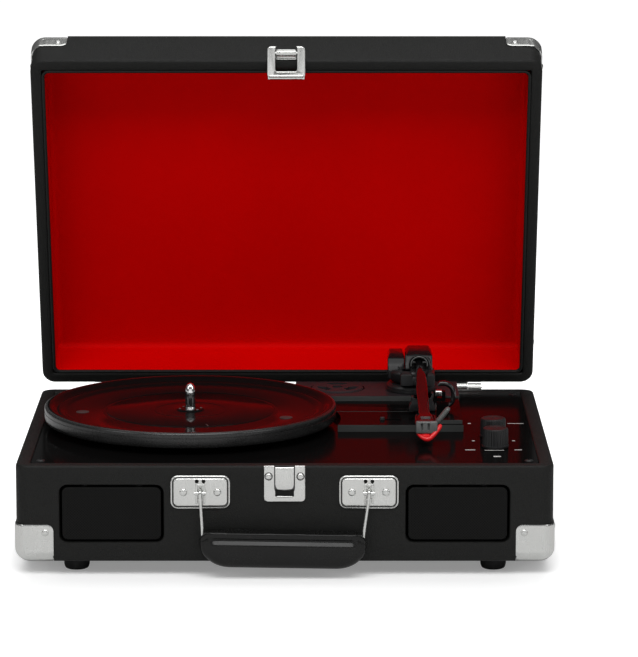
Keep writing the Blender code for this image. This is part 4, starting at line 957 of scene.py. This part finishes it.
# ---- platter ----------------------------------------------------------------------
bm = bmesh.new()
prof = [(3.95, 78.4), (3.95, 86.0), (4.15, 86.3), (5.6, 86.4), (8.6, 86.4), (9.2, 86.2), (9.8, 85.5), (10.6, 85.38), (24.0, 85.4), (24.2, 85.55), (25.2, 85.55), (25.4, 85.4),
        (57.6, 85.4), (58.0, 85.2), (58.3, 84.95), (60.7, 84.95), (61.0, 85.2), (61.4, 85.4), (84.6, 85.4), (85.6, 85.5), (86.6, 86.0), (87.6, 86.6),
        (88.4, 86.85), (89.0, 87.0), (89.4, 87.15), (89.9, 87.2), (91.6, 87.2), (92.1, 87.1), (92.8, 87.35), (94.4, 88.7), (95.6, 89.6), (96.6, 89.92), (97.6, 90.0), (98.8, 90.0),
        (99.6, 89.85), (100.3, 89.4), (100.7, 88.7), (100.8, 87.8), (100.8, 86.5), (100.55, 86.3), (100.55, 85.9), (100.8, 85.7), (100.8, 82.0), (100.6, 80.8), (100.1, 79.8), (99.4, 79.35),
        (98.4, 79.3), (97.8, 79.5), (97.6, 80.2), (97.6, 82.2), (45.0, 82.2), (45.0, 76.4), (42.4, 76.4), (42.4, 82.2), (9.0, 82.2), (9.0, 78.4)]
revolve(bm, prof[::-1], 180, True, T((PLATTER_X, PLATTER_Y, 0)))
disc = piece("platter_disc", bm, BASE_M, "platter", [PLATTER, PLATTER_RIM], "platter", "platter_plastic", 28)
for f in disc.data.polygons:
    c = f.center
    if math.hypot(c.x - PLATTER_X * MM, c.y - (PLATTER_Y - MID_Y) * MM) > 0.0990:
        f.material_index = 1
# shallow dimples and a short tick moulded in the platter
bm = bmesh.new()
for a, r in ((186, 74.6), (338, 71.6)):
    a = math.radians(a)
    revolve(bm, [(0, 85.55), (3.0, 85.55), (3.8, 85.62), (4.3, 85.6), (4.5, 85.42), (4.5, 85.2), (0, 85.2)], 32,
            matrix=T((PLATTER_X + r * math.cos(a), PLATTER_Y + r * math.sin(a), 0)))
mk = T((PLATTER_X, PLATTER_Y, 0)) @ Matrix.Rotation(math.radians(284), 4, "Z")
soft_box(bm, (51.0, 57.0), (-0.5, 0.5), (85.2, 85.5), 0.15, mk)
piece("platter_marks", bm, BASE_M, "platter", DECK_EDGE, slot="platter_plastic")
bm = bmesh.new()
for k in range(6):
    a = math.radians(60 * k + 12)
    revolve(bm, [(0, 86.75), (0.6, 86.65), (0.85, 86.4), (0.85, 86.2), (0, 86.2)], 12, matrix=T((PLATTER_X + 7.4 * math.cos(a), PLATTER_Y + 7.4 * math.sin(a), 0)))
piece("platter_hub_pips", bm, BASE_M, "platter", GREY, slot="platter_plastic")

# spindle with a rounded tip and a turned groove
bm = bmesh.new()
prof = [(0, 104.2), (0.9, 104.08), (1.8, 103.6), (2.5, 102.7), (3.0, 101.5), (3.35, 100.0), (3.55, 98.6), (3.6, 97.0), (3.6, 88.2), (3.5, 88.0), (3.5, 87.6), (3.6, 87.4), (3.6, 62.0), (0, 62.0)]
revolve(bm, prof, 48, matrix=T((PLATTER_X, PLATTER_Y, 0)))
piece("spindle_pin", bm, BASE_M, "base", CHROME, "spindle", "chrome")

# ---- knobs ------------------------------------------------------------------------
for name, y in (("volume", KNOB_Y1), ("pitch", KNOB_Y2)):
    n = 120
    R, z0, z1 = 9.1, DECK_Z + 0.6, DECK_Z + 13.5
    bm = bmesh.new()
    rings = []

    def flute(r, z, depth):
        return [Vector((KNOB_X + (r - depth * (0.5 - 0.5 * math.cos(2 * math.pi * i / n * 30))) * math.cos(2 * math.pi * i / n),
                        y + (r - depth * (0.5 - 0.5 * math.cos(2 * math.pi * i / n * 30))) * math.sin(2 * math.pi * i / n), z)) for i in range(n)]
    secs = [flute(3.5, z0 + 0.2, 0), flute(8.4, z0 + 0.2, 0), flute(8.4, z0, 0), flute(9.05, z0, 0), flute(9.1, z0 + 0.5, 0), flute(9.05, z0 + 1.2, 0), flute(8.85, z0 + 1.4, 0.3), flute(8.8, z0 + 2.0, 0.5),
            flute(8.6, z1 - 1.6, 0.5), flute(8.45, z1 - 0.7, 0.35), flute(8.1, z1 - 0.2, 0.1), flute(7.6, z1, 0), flute(6.6, z1, 0), flute(6.3, z1 - 0.25, 0), flute(3.0, z1 - 0.3, 0)]
    loft(bm, secs)
    soft_box(bm, (KNOB_X - 0.5, KNOB_X + 0.5), (y + 1.2, y + 7.6), (z1 - 0.5, z1 + 0.0), 0.2)
    piece(name + "_knob_cap", bm, BASE_M, name, SATIN, name + "_knob", "black_plastic", 32)

# ---- deck moulding: the frame's own shape with its edges rounded ---------------------------
deck = bpy.data.objects.new("deck_moulding", NODES["deck_plate"].data.copy())
bpy.context.scene.collection.objects.link(deck)
bm = bmesh.new()
bm.from_mesh(deck.data)
bmesh.ops.remove_doubles(bm, verts=bm.verts, dist=2e-5)
bmesh.ops.dissolve_limit(bm, angle_limit=math.radians(0.6), verts=bm.verts, edges=bm.edges)
bm.to_mesh(deck.data)
bm.free()
mod = deck.modifiers.new("edges", "BEVEL")
mod.width, mod.segments, mod.limit_method, mod.angle_limit = 0.45 * MM, 2, "ANGLE", math.radians(40)
bpy.context.view_layer.update()
apply_modifiers(deck)
wear(deck, "base", [DECK, DECK_EDGE, DECK_TOP], "deck_plate", "deck_plastic", 12)
repaint(deck, lambda c, n: n.y < -0.5 and c.z > DECK_Z + 0.4 and any(abs(c.y + MID_Y - y) < 1.2 for y in (110.0, 115.0, 156.0, 193.0)))
repaint(deck, lambda c, n: n.z > 0.8 and c.z > HIGH_Z - 0.6 and c.y + MID_Y > 190, 2)

# ---- tonearm: turning block -------------------------------------------------------------------
def block(bm, x, y, z, front, sides, back, r=0.5):
    """A housing with its top edges cut off at 45 degrees and its edges eased."""
    (x0, x1), (y0, y1), (z0, z1) = x, y, z
    rings = []
    for k, (fr, sd, bk, zz) in enumerate(((0, 0, 0, z0), (0, 0, 0, z1 - front), (front - 0.35, sides - 0.25, back - 0.35, z1 - 0.3), (front + 0.3, sides + 0.35, back + 0.3, z1))):
        o = rounded((x1 - x0) - 2 * sd, (y1 - y0) - fr - bk, max(0.35, r + 0.3 - k * 0.1), 4, (x0 + x1) / 2, (y0 + fr + y1 - bk) / 2)
        if k == 1:
            rings.append([Vector((px, py, zz - 0.6)) for px, py in o])
            o = [((px - (x0 + x1) / 2) * 0.985 + (x0 + x1) / 2, (py - (y0 + y1) / 2) * 0.99 + (y0 + y1) / 2) for px, py in o]
        rings.append([Vector((px, py, zz)) for px, py in o])
    return loft(bm, rings)


parts_ = []
bm = bmesh.new()
block(bm, (83.9, 103.4), (207.5, 233.5), (92.4, 112.0), 3.2, 2.6, 2.6)
hump = raw("hump", bm, BASE_M)
cuts = []
bm = bmesh.new()
arch = [(ARM_X + 5.0 * math.cos(math.radians(a)), 102.2 + 5.0 * math.sin(math.radians(a))) for a in range(0, 181, 12)]
arch = arch + [(ARM_X - 5.0, 95.0), (ARM_X + 5.0, 95.0)]
stack(bm, [(px, pz) for px, pz in arch], [(0, -224.0), (0, -200.0)], matrix=FRONT)
cuts.append(raw("channel", bm, BASE_M))
bm = bmesh.new()
arch = [(ARM_X + 6.7 * math.cos(math.radians(a)), 102.2 + 6.7 * math.sin(math.radians(a))) for a in range(0, 181, 10)]
arch = arch + [(ARM_X - 6.7, 96.0), (ARM_X + 6.7, 96.0)]
stack(bm, arch, [(0.9, -208.5), (0, -207.7), (0, -200.0)], matrix=FRONT)
cuts.append(raw("recess", bm, BASE_M))
boolean(hump, cuts)
hump.name = "arm_housing"
wear(hump, "arm_block", ARM_GLOSS, "tonearm_yoke", "black_plastic", 30)
bm = bmesh.new()
block(bm, (71.6, 83.6), (208.5, 232.5), (92.6, 109.8), 3.4, 1.6, 2.2)
piece("arm_shoulder", bm, BASE_M, "arm_block", ARM_GLOSS, slot="black_plastic", angle=30)
# round foot of the block with two turned lines, and the rim of the arch
bm = bmesh.new()
revolve(bm, [(0, 98.6), (13.8, 98.6), (15.6, 98.3), (16.4, 97.5), (16.8, 96.4), (16.75, 95.6), (16.45, 95.5), (16.45, 95.1), (16.7, 95.0),
             (16.3, 93.2), (15.6, 91.5), (14.6, 90.0), (13.4, 89.1), (12.6, 88.9), (1.6, 88.9), (1.6, 84.0), (0, 84.0)], 72, matrix=T((PIVOT_X, PIVOT_Y, 0)))
piece("arm_block_foot", bm, BASE_M, "arm_block", SATIN, slot="black_plastic", angle=30)
bm = bmesh.new()
ring = [(ARM_X + 5.85 * math.cos(math.radians(a)), -206.6, 102.2 + 5.85 * math.sin(math.radians(a))) for a in range(-10, 191, 10)]
tube(bm, [(x, 208.0, z) for x, _, z in ring], 0.45, 10)
piece("arm_arch_rim", bm, BASE_M, "arm_block", GREY, slot="black_plastic")
# apron under the arm: a U open at the front
bm = bmesh.new()
for x0, x1 in ((80.4, 89.0), (99.0, 104.8)):
    block(bm, (x0, x1), (194.5, 212.0), (89.6, 98.6), 1.6, 1.2, 0.6)
soft_box(bm, (84.0, 103.0), (194.9, 211.0), (89.5, 95.6), 0.8)
piece("arm_apron", bm, BASE_M, "arm_block", SATIN, slot="black_plastic", angle=30)

# base ring of the tonearm
bm = bmesh.new()
revolve(bm, [(2.0, 88.4), (15.2, 88.4), (16.2, 88.2), (17.1, 87.5), (17.6, 86.6), (17.7, 85.4), (17.5, 85.2), (17.5, 84.9), (17.8, 84.7), (17.9, 83.4),
             (17.8, 82.85), (2.0, 82.85)], 84, True, T((PIVOT_X, PIVOT_Y, 0)))
piece("arm_base_ring", bm, BASE_M, "base", SATIN, "tonearm_base", "black_plastic", 30)

# ---- arm, headshell, finger lift ----------------------------------------------------------------
def oval(x, y, z, w, h, n=24, flat=0.0):
    out = []
    for i in range(n):
        a = 2 * math.pi * i / n
        c, d = math.cos(a), math.sin(a)
        out.append((x + w * math.copysign(abs(c) ** 0.8, c), y, z + h * math.copysign(abs(d) ** 0.8, d) * (1 - flat * (d < 0))))
    return out


arm = [(219.5, 102.6, 2.0, 1.6), (219.0, 102.6, 3.1, 2.8), (212, 102.6, 2.9, 2.6), (206, 102.45, 2.2, 2.2), (198, 101.8, 2.4, 2.3), (190, 101.1, 2.9, 2.7), (178, 99.6, 3.5, 3.0),
       (165, 97.8, 4.0, 3.1), (150, 95.6, 4.1, 3.0), (135, 93.5, 4.0, 2.9), (120, 91.4, 3.9, 2.8), (108, 89.9, 3.9, 2.7), (98, 88.7, 4.2, 2.6)]
head = [(93.5, 88.3, 5.2, 2.6), (90.5, 88.1, 6.4, 2.7), (87, 88.0, 7.1, 2.75), (80, 87.9, 7.4, 2.8), (72, 87.7, 7.2, 2.8), (67.0, 87.5, 6.8, 2.6), (64.8, 87.2, 6.3, 2.1), (64.2, 87.0, 5.8, 1.6)]
bm = bmesh.new()
loft(bm, [oval(ARM_X + (203 - y) * 0.007, y, z, w, h) for y, z, w, h in arm + head])
body = raw("arm_body", bm, BASE_M)
bore = raw("bore", tube(bmesh.new(), [(80, 216.0, 102.6), (110, 216.0, 102.6)], 1.3, 16), BASE_M)
boolean(body, [bore])
body.name = "arm_moulding"
wear(body, "tonearm", ARM_GLOSS, "tonearm_tube", "black_plastic", 45)
# front of the headshell: a light panel with two slots and a rib on each side
bm = bmesh.new()
soft_box(bm, (88.0, 102.6), (61.4, 65.0), (83.2, 91.6), 0.9)
panel = raw("panel", bm, BASE_M)
cuts = []
for x in (92.1, 96.6):
    bm = bmesh.new()
    soft_box(bm, (x - 0.75, x + 0.75), (55.0, 63.6), (85.4, 90.4), 0.4)
    cuts.append(raw("slot", bm, BASE_M))
boolean(panel, cuts)
panel.name = "headshell_front"
wear(panel, "tonearm", GREY, slot="black_plastic", angle=35)
bm = bmesh.new()
for sx in (-1, 1):
    tube(bm, smooth_path([(ARM_X + 0.9 + sx * 5.6, 92.0, 90.0), (ARM_X + 0.9 + sx * 6.4, 84.0, 90.4), (ARM_X + 0.9 + sx * 6.5, 72.0, 90.5), (ARM_X + 0.9 + sx * 6.1, 65.0, 90.6)], 4), 0.55, 10)
for y in (76.0, 79.0, 82.0):
    soft_box(bm, (ARM_X - 2.6, ARM_X + 4.4), (y - 0.6, y + 0.6), (90.0, 90.95), 0.3)
piece("headshell_ribs", bm, BASE_M, "tonearm", ARM_GLOSS, slot="black_plastic")
# finger lift: a broad curved blade
blade = smooth_path([(97.6, 77.0, 86.4), (100.6, 76.4, 87.0), (103.6, 75.8, 89.4), (106.2, 75.4, 92.6), (108.8, 75.2, 96.0), (110.8, 75.2, 98.6)], 5)
bm = bmesh.new()
sections = []
for i, q in enumerate(blade):
    t = (blade[min(i + 1, len(blade) - 1)] - blade[max(i - 1, 0)]).normalized()
    n = Vector((-t.z, 0, t.x))
    f = i / (len(blade) - 1)
    hw, th = 3.6 - 1.0 * f - 1.6 * step(0.88, 1.02, f), 1.9 - 0.2 * f - 0.9 * step(0.85, 1.02, f)
    sections.append([q + Vector((0, hw * math.copysign(abs(math.cos(a)) ** 0.7, math.cos(a)), 0)) + n * th * math.copysign(abs(math.sin(a)) ** 0.8, math.sin(a))
                     for a in (2 * math.pi * k / 16 for k in range(16))])
loft(bm, sections)
piece("finger_lift_blade", bm, BASE_M, "tonearm", GREY, slot="black_plastic", angle=45)
# cartridge with two ribs and a seam
bm = bmesh.new()
soft_box(bm, (90.4, 99.4), (66.6, 81.4), (81.5, 85.2), 0.6)
for x in (92.0, 97.8):
    soft_box(bm, (x - 0.4, x + 0.4), (66.3, 80.8), (81.25, 84.6), 0.3)
soft_box(bm, (90.25, 99.55), (72.4, 73.0), (81.7, 85.0), 0.2)
piece("cartridge_body", bm, BASE_M, "tonearm", SATIN, "cartridge", "black_plastic", 35)
# red stylus holder: a wedge with a bent guard across its front
bm = bmesh.new()
loft(bm, [oval(ARM_X + 0.9, y, z, w, h, 20) for y, z, w, h in ((66.3, 82.8, 4.4, 1.9), (65.0, 82.7, 4.5, 2.0), (63.6, 82.4, 3.6, 1.6), (62.0, 81.8, 2.4, 1.2), (60.8, 81.2, 1.4, 0.8))])
guard = smooth_path([(89.5, 64.2, 82.9), (91.6, 62.2, 81.2), (94.6, 60.6, 79.9), (97.0, 60.6, 80.0), (99.8, 61.6, 82.2), (102.6, 63.6, 85.4), (105.0, 65.6, 88.4)], 5)
tube(bm, guard, [(1.2 + 0.5 * step(0.0, 0.4, i / len(guard)) - 0.7 * step(0.86, 1.0, i / len(guard))) for i in range(len(guard))], 14)
tube(bm, [(ARM_X + 0.9, 61.5, 80.6), (ARM_X + 0.9, 60.2, 79.2)], [0.35, 0.2], 8)
piece("stylus_holder", bm, BASE_M, "tonearm", RED, "stylus", "stylus_red", 45)

# arm rest: a moulded fork
bm = bmesh.new()
fork = [(-9.0, 0), (9.0, 0), (9.3, 1.6), (9.0, 3.2), (7.6, 6.2), (7.4, 8.0), (7.6, 10.6), (7.5, 12.6), (6.9, 13.0), (6.2, 12.6), (5.8, 11.0), (5.2, 9.9), (4.2, 9.5),
        (-4.6, 9.5), (-5.4, 9.8), (-6.0, 10.3), (-6.8, 10.5), (-7.5, 10.1), (-7.4, 8.0), (-7.6, 6.2), (-9.0, 3.2), (-9.3, 1.6)]
stack(bm, soften(fork, 0.5, 2), [(0.45, -3.5), (0.12, -3.35), (0.0, -3.0), (0.0, 3.0), (0.12, 3.35), (0.45, 3.5)], matrix=T((ARM_X + 0.5, 146.0, PAD_Z + 0.35)) @ FRONT)
piece("arm_rest_fork", bm, BASE_M, "base", SATIN, "arm_rest", "black_plastic", 30)
# clip: a flat band bent over the arm, on its pin
band = smooth_path([(0.0, 0.2), (3.2, 0.6), (6.2, 2.6), (7.6, 6.4), (7.5, 10.8), (5.8, 14.4), (2.6, 16.4), (-1.2, 16.6), (-3.2, 15.6)], 5)
bm = bmesh.new()
sections = []
for i, q in enumerate(band):
    t = (band[min(i + 1, len(band) - 1)] - band[max(i - 1, 0)]).normalized()
    n = Vector((-t.y, t.x))
    th = 1.0 + 0.75 * step(0.0, 0.35, i / len(band)) - 0.6 * step(0.8, 1.0, i / len(band))
    ring = []
    for a in (2 * math.pi * k / 16 for k in range(16)):
        cc, ss = math.cos(a), math.sin(a)
        off = n * th * math.copysign(abs(ss) ** 0.7, ss)
        ring.append((q.x + off.x, 2.4 * math.copysign(abs(cc) ** 0.6, cc), q.y + off.y))
    sections.append(ring)
loft(bm, sections)
tube(bm, [(0, -2.6, 0), (0, 2.6, 0)], 1.5, 20)
piece("rest_clip_band", bm, BASE_M @ T((108.5, 146.0, PAD_Z + 3.0)), "clip", ARM_GLOSS, "rest_clip", "black_plastic", 45)
# cue lever: a short plated tab on its pin
bm = bmesh.new()
tab = soften([(-1.5, -1.2), (0.0, -1.6), (1.5, -1.2), (1.7, 0.6), (2.0, 1.8), (0.6, 2.3), (-1.0, 2.1), (-1.6, 1.0)], 0.7, 3)
stack(bm, tab, [(0.3, -1.4), (0.0, -1.15), (0.0, 1.15), (0.3, 1.4)], matrix=T((107.9, 187.0, PAD_Z + 4.2)) @ Matrix.Rotation(math.pi / 2, 4, "Z") @ FRONT)
soft_box(bm, (104.6, 109.6), (183.4, 188.4), (86.9, 88.3), 0.6)
soft_box(bm, (104.6, 109.6), (183.2, 184.4), (84.2, 88.0), 0.5)
piece("cue_lever_tab", bm, BASE_M, "lever", NICKEL, "cue_lever", "nickel", 40)
# switch levers
for name, node, x, y in (("speed_lever", "speed_switch", 87.5, 171.0), ("autostop_lever", "autostop_switch", 66.5, 128.0)):
    bm = bmesh.new()
    soft_box(bm, (x - 1.6, x + 1.6), (y - 1.2, y + 1.2), (76.4, 80.9), 0.5)
    for k in (-0.8, 0.0, 0.8):
        soft_box(bm, (x + k - 0.2, x + k + 0.2), (y - 1.0, y + 1.0), (80.7, 81.15), 0.15)
    piece(name, bm, BASE_M, node.split("_")[0], SATIN, node, "black_plastic", 35)

# ---- printed marks round the knobs: plain dots and dashes ----------------------------
bm = bmesh.new()


def mark(x0, x1, y0, y1, r=0.25):
    stack(bm, rounded(x1 - x0, y1 - y0, min(r, (x1 - x0) * 0.45, (y1 - y0) * 0.45), 3, (x0 + x1) / 2, (y0 + y1) / 2), [(0, DECK_Z - 0.1), (0, DECK_Z + 0.05), (0.05, DECK_Z + 0.08)])


mark(125.9, 128.3, 136.8, 139.2, 1.1)
mark(153.6, 164.8, 137.4, 138.6)
mark(126.5, 128.7, 79.9, 82.1, 1.0)
mark(153.8, 156.0, 79.9, 82.1, 1.0)
mark(121.0, 127.7, 51.2, 52.8)
mark(154.0, 159.0, 51.2, 52.8)
mark(134.0, 147.0, 50.1, 51.3)
mark(139.0, 144.0, 30.0, 33.0, 0.6)
piece("printed_dashes", bm, BASE_M, "base", PRINT)

# ---- deck screws ----------------------------------------------------------------------
bm = bmesh.new()
for x, y in ((162.0, 18.5), (-162.0, 18.5), (162.0, 240.0), (-162.0, 240.0)):
    mx = T((x, y, DECK_Z))
    revolve(bm, [(0, 0.9), (1.6, 0.82), (2.6, 0.45), (3.0, 0.0), (3.0, -0.4), (0, -0.4)], 28, matrix=mx)
screws = raw("screws", bm, BASE_M)
tools = []
for x, y in ((162.0, 18.5), (-162.0, 18.5), (162.0, 240.0), (-162.0, 240.0)):
    for a in (0.3, 0.3 + math.pi / 2):
        bm = bmesh.new()
        soft_box(bm, (-1.7, 1.7), (-0.35, 0.35), (DECK_Z + 0.35, DECK_Z + 2), 0.1, T((x, y, 0)) @ Matrix.Rotation(a, 4, "Z"))
        tools.append(raw("cross", bm, BASE_M))
boolean(screws, tools)
screws.name = "deck_screws"
wear(screws, "base", SATIN, slot="black_plastic")

# ---- CAD nodes that keep their shape ------------------------------------------------------
KEEP = {"left_speaker": SATIN, "right_speaker": SATIN, "rear_jack_panel": SATIN, "dc_inlet": SATIN, "circuit_board": BOARD,
        "spindle_bearing": BRASS, "motor": STEEL, "drive_belt": BELT, "motor_pulley": BRASS,
        "volume_control": STEEL, "pitch_control": STEEL, "left_hinge_base_leaf": NICKEL, "right_hinge_base_leaf": NICKEL,
        "left_hinge_lid_leaf": NICKEL, "right_hinge_lid_leaf": NICKEL, "left_hinge_pin": CHROME, "right_hinge_pin": CHROME,
        "adapter_45": DECK_TOP, "tonearm_pivot_pin": STEEL}
for node, material in KEEP.items():
    obj = NODES[node]
    if obj.hide_render:
        continue
    if not obj.material_slots:
        obj.data.materials.append(material)
    for s in obj.material_slots:
        s.material = material

# ---- floor and light ---------------------------------------------------------------------------
bm = bmesh.new()
stack(bm, circle(9.0, 96), [(0, -0.02), (0, 0.0)])
mesh = bpy.data.meshes.new("floor")
bm.to_mesh(mesh)
bm.free()
floor = bpy.data.objects.new("floor", mesh)
bpy.context.scene.collection.objects.link(floor)
p = Paint("white_floor", (0.80, 0.80, 0.80), 0.9, ior=1.1)
# painted light: camera rays see the floor glow, weakest (0.72) close round the case so the shade there stays dark, up
# to 2.3 out to the sides, ahead and behind
axes = p.xyz()
side = p.range(p.math("ABSOLUTE", axes["X"]), 0.165, 0.205, 0.0, 1.0)
ahead = p.range(p.math("MULTIPLY", axes["Y"], -1.0), 0.17, 0.42, 0.0, 1.0)
seen_floor = p.node("ShaderNodeLightPath")
behind = p.range(axes["Y"], 0.10, 0.16, 0.0, 1.0)
p.link(p.math("MULTIPLY", p.range(p.math("MAXIMUM", p.math("MAXIMUM", side, ahead), behind), 0.0, 1.0, 0.72, 2.3, False), seen_floor.outputs["Is Camera Ray"]), p.b.inputs["Emission Strength"])
p.b.inputs["Emission Color"].default_value = (0.35, 0.35, 0.35, 1)
mesh.materials.append(p.m)

world = bpy.data.worlds.new("studio")
bpy.context.scene.world = world
world.use_nodes = True
wt = world.node_tree
bg = wt.nodes["Background"]
bg.inputs["Color"].default_value = (1, 1, 1, 1)
sky = wt.nodes.new("ShaderNodeTexCoord")
split = wt.nodes.new("ShaderNodeSeparateXYZ")
ramp = wt.nodes.new("ShaderNodeMapRange")
for k, v in zip(("From Min", "From Max", "To Min", "To Max"), (0.05, 0.8, 0.07, 0.26)):
    ramp.inputs[k].default_value = v
wt.links.new(sky.outputs["Generated"], split.inputs[0])
wt.links.new(split.outputs["Z"], ramp.inputs["Value"])
wt.links.new(ramp.outputs["Result"], bg.inputs["Strength"])
seen = wt.nodes.new("ShaderNodeBackground")
seen.inputs["Strength"].default_value = 1.1
path = wt.nodes.new("ShaderNodeLightPath")
mixer = wt.nodes.new("ShaderNodeMixShader")
wt.links.new(path.outputs["Is Camera Ray"], mixer.inputs[0])
wt.links.new(bg.outputs[0], mixer.inputs[1])
wt.links.new(seen.outputs[0], mixer.inputs[2])
wt.links.new(mixer.outputs[0], wt.nodes["World Output"].inputs["Surface"])


def softbox(name, size, at, target, power):
    data = bpy.data.lights.new(name, "AREA")
    data.shape = "RECTANGLE"
    data.size, data.size_y = size
    data.energy = power
    obj = bpy.data.objects.new(name, data)
    bpy.context.scene.collection.objects.link(obj)
    obj.location = at
    obj.rotation_euler = (Vector(target) - Vector(at)).to_track_quat("-Z", "Y").to_euler()
    return obj


softbox("key_above_front", (2.6, 1.4), (0.0, -1.7, 2.2), (0, 0, 0.15), 56.0)
softbox("left_side", (1.2, 1.2), (-2.3, -1.5, 1.3), (0, 0, 0.15), 10.0)
softbox("right_side", (1.2, 1.2), (2.3, -1.5, 1.3), (0, 0, 0.15), 10.0)
softbox("front_sweep", (3.0, 0.9), (0.0, -1.95, 0.16), (0, 0.1, 0.30), 6.0)
softbox("overhead_back", (2.0, 1.0), (0.0, 0.7, 2.2), (0, 0, 0.15), 12.0)

bpy.context.scene.view_settings.view_transform = "Standard"
bpy.context.scene.view_settings.look = "None"
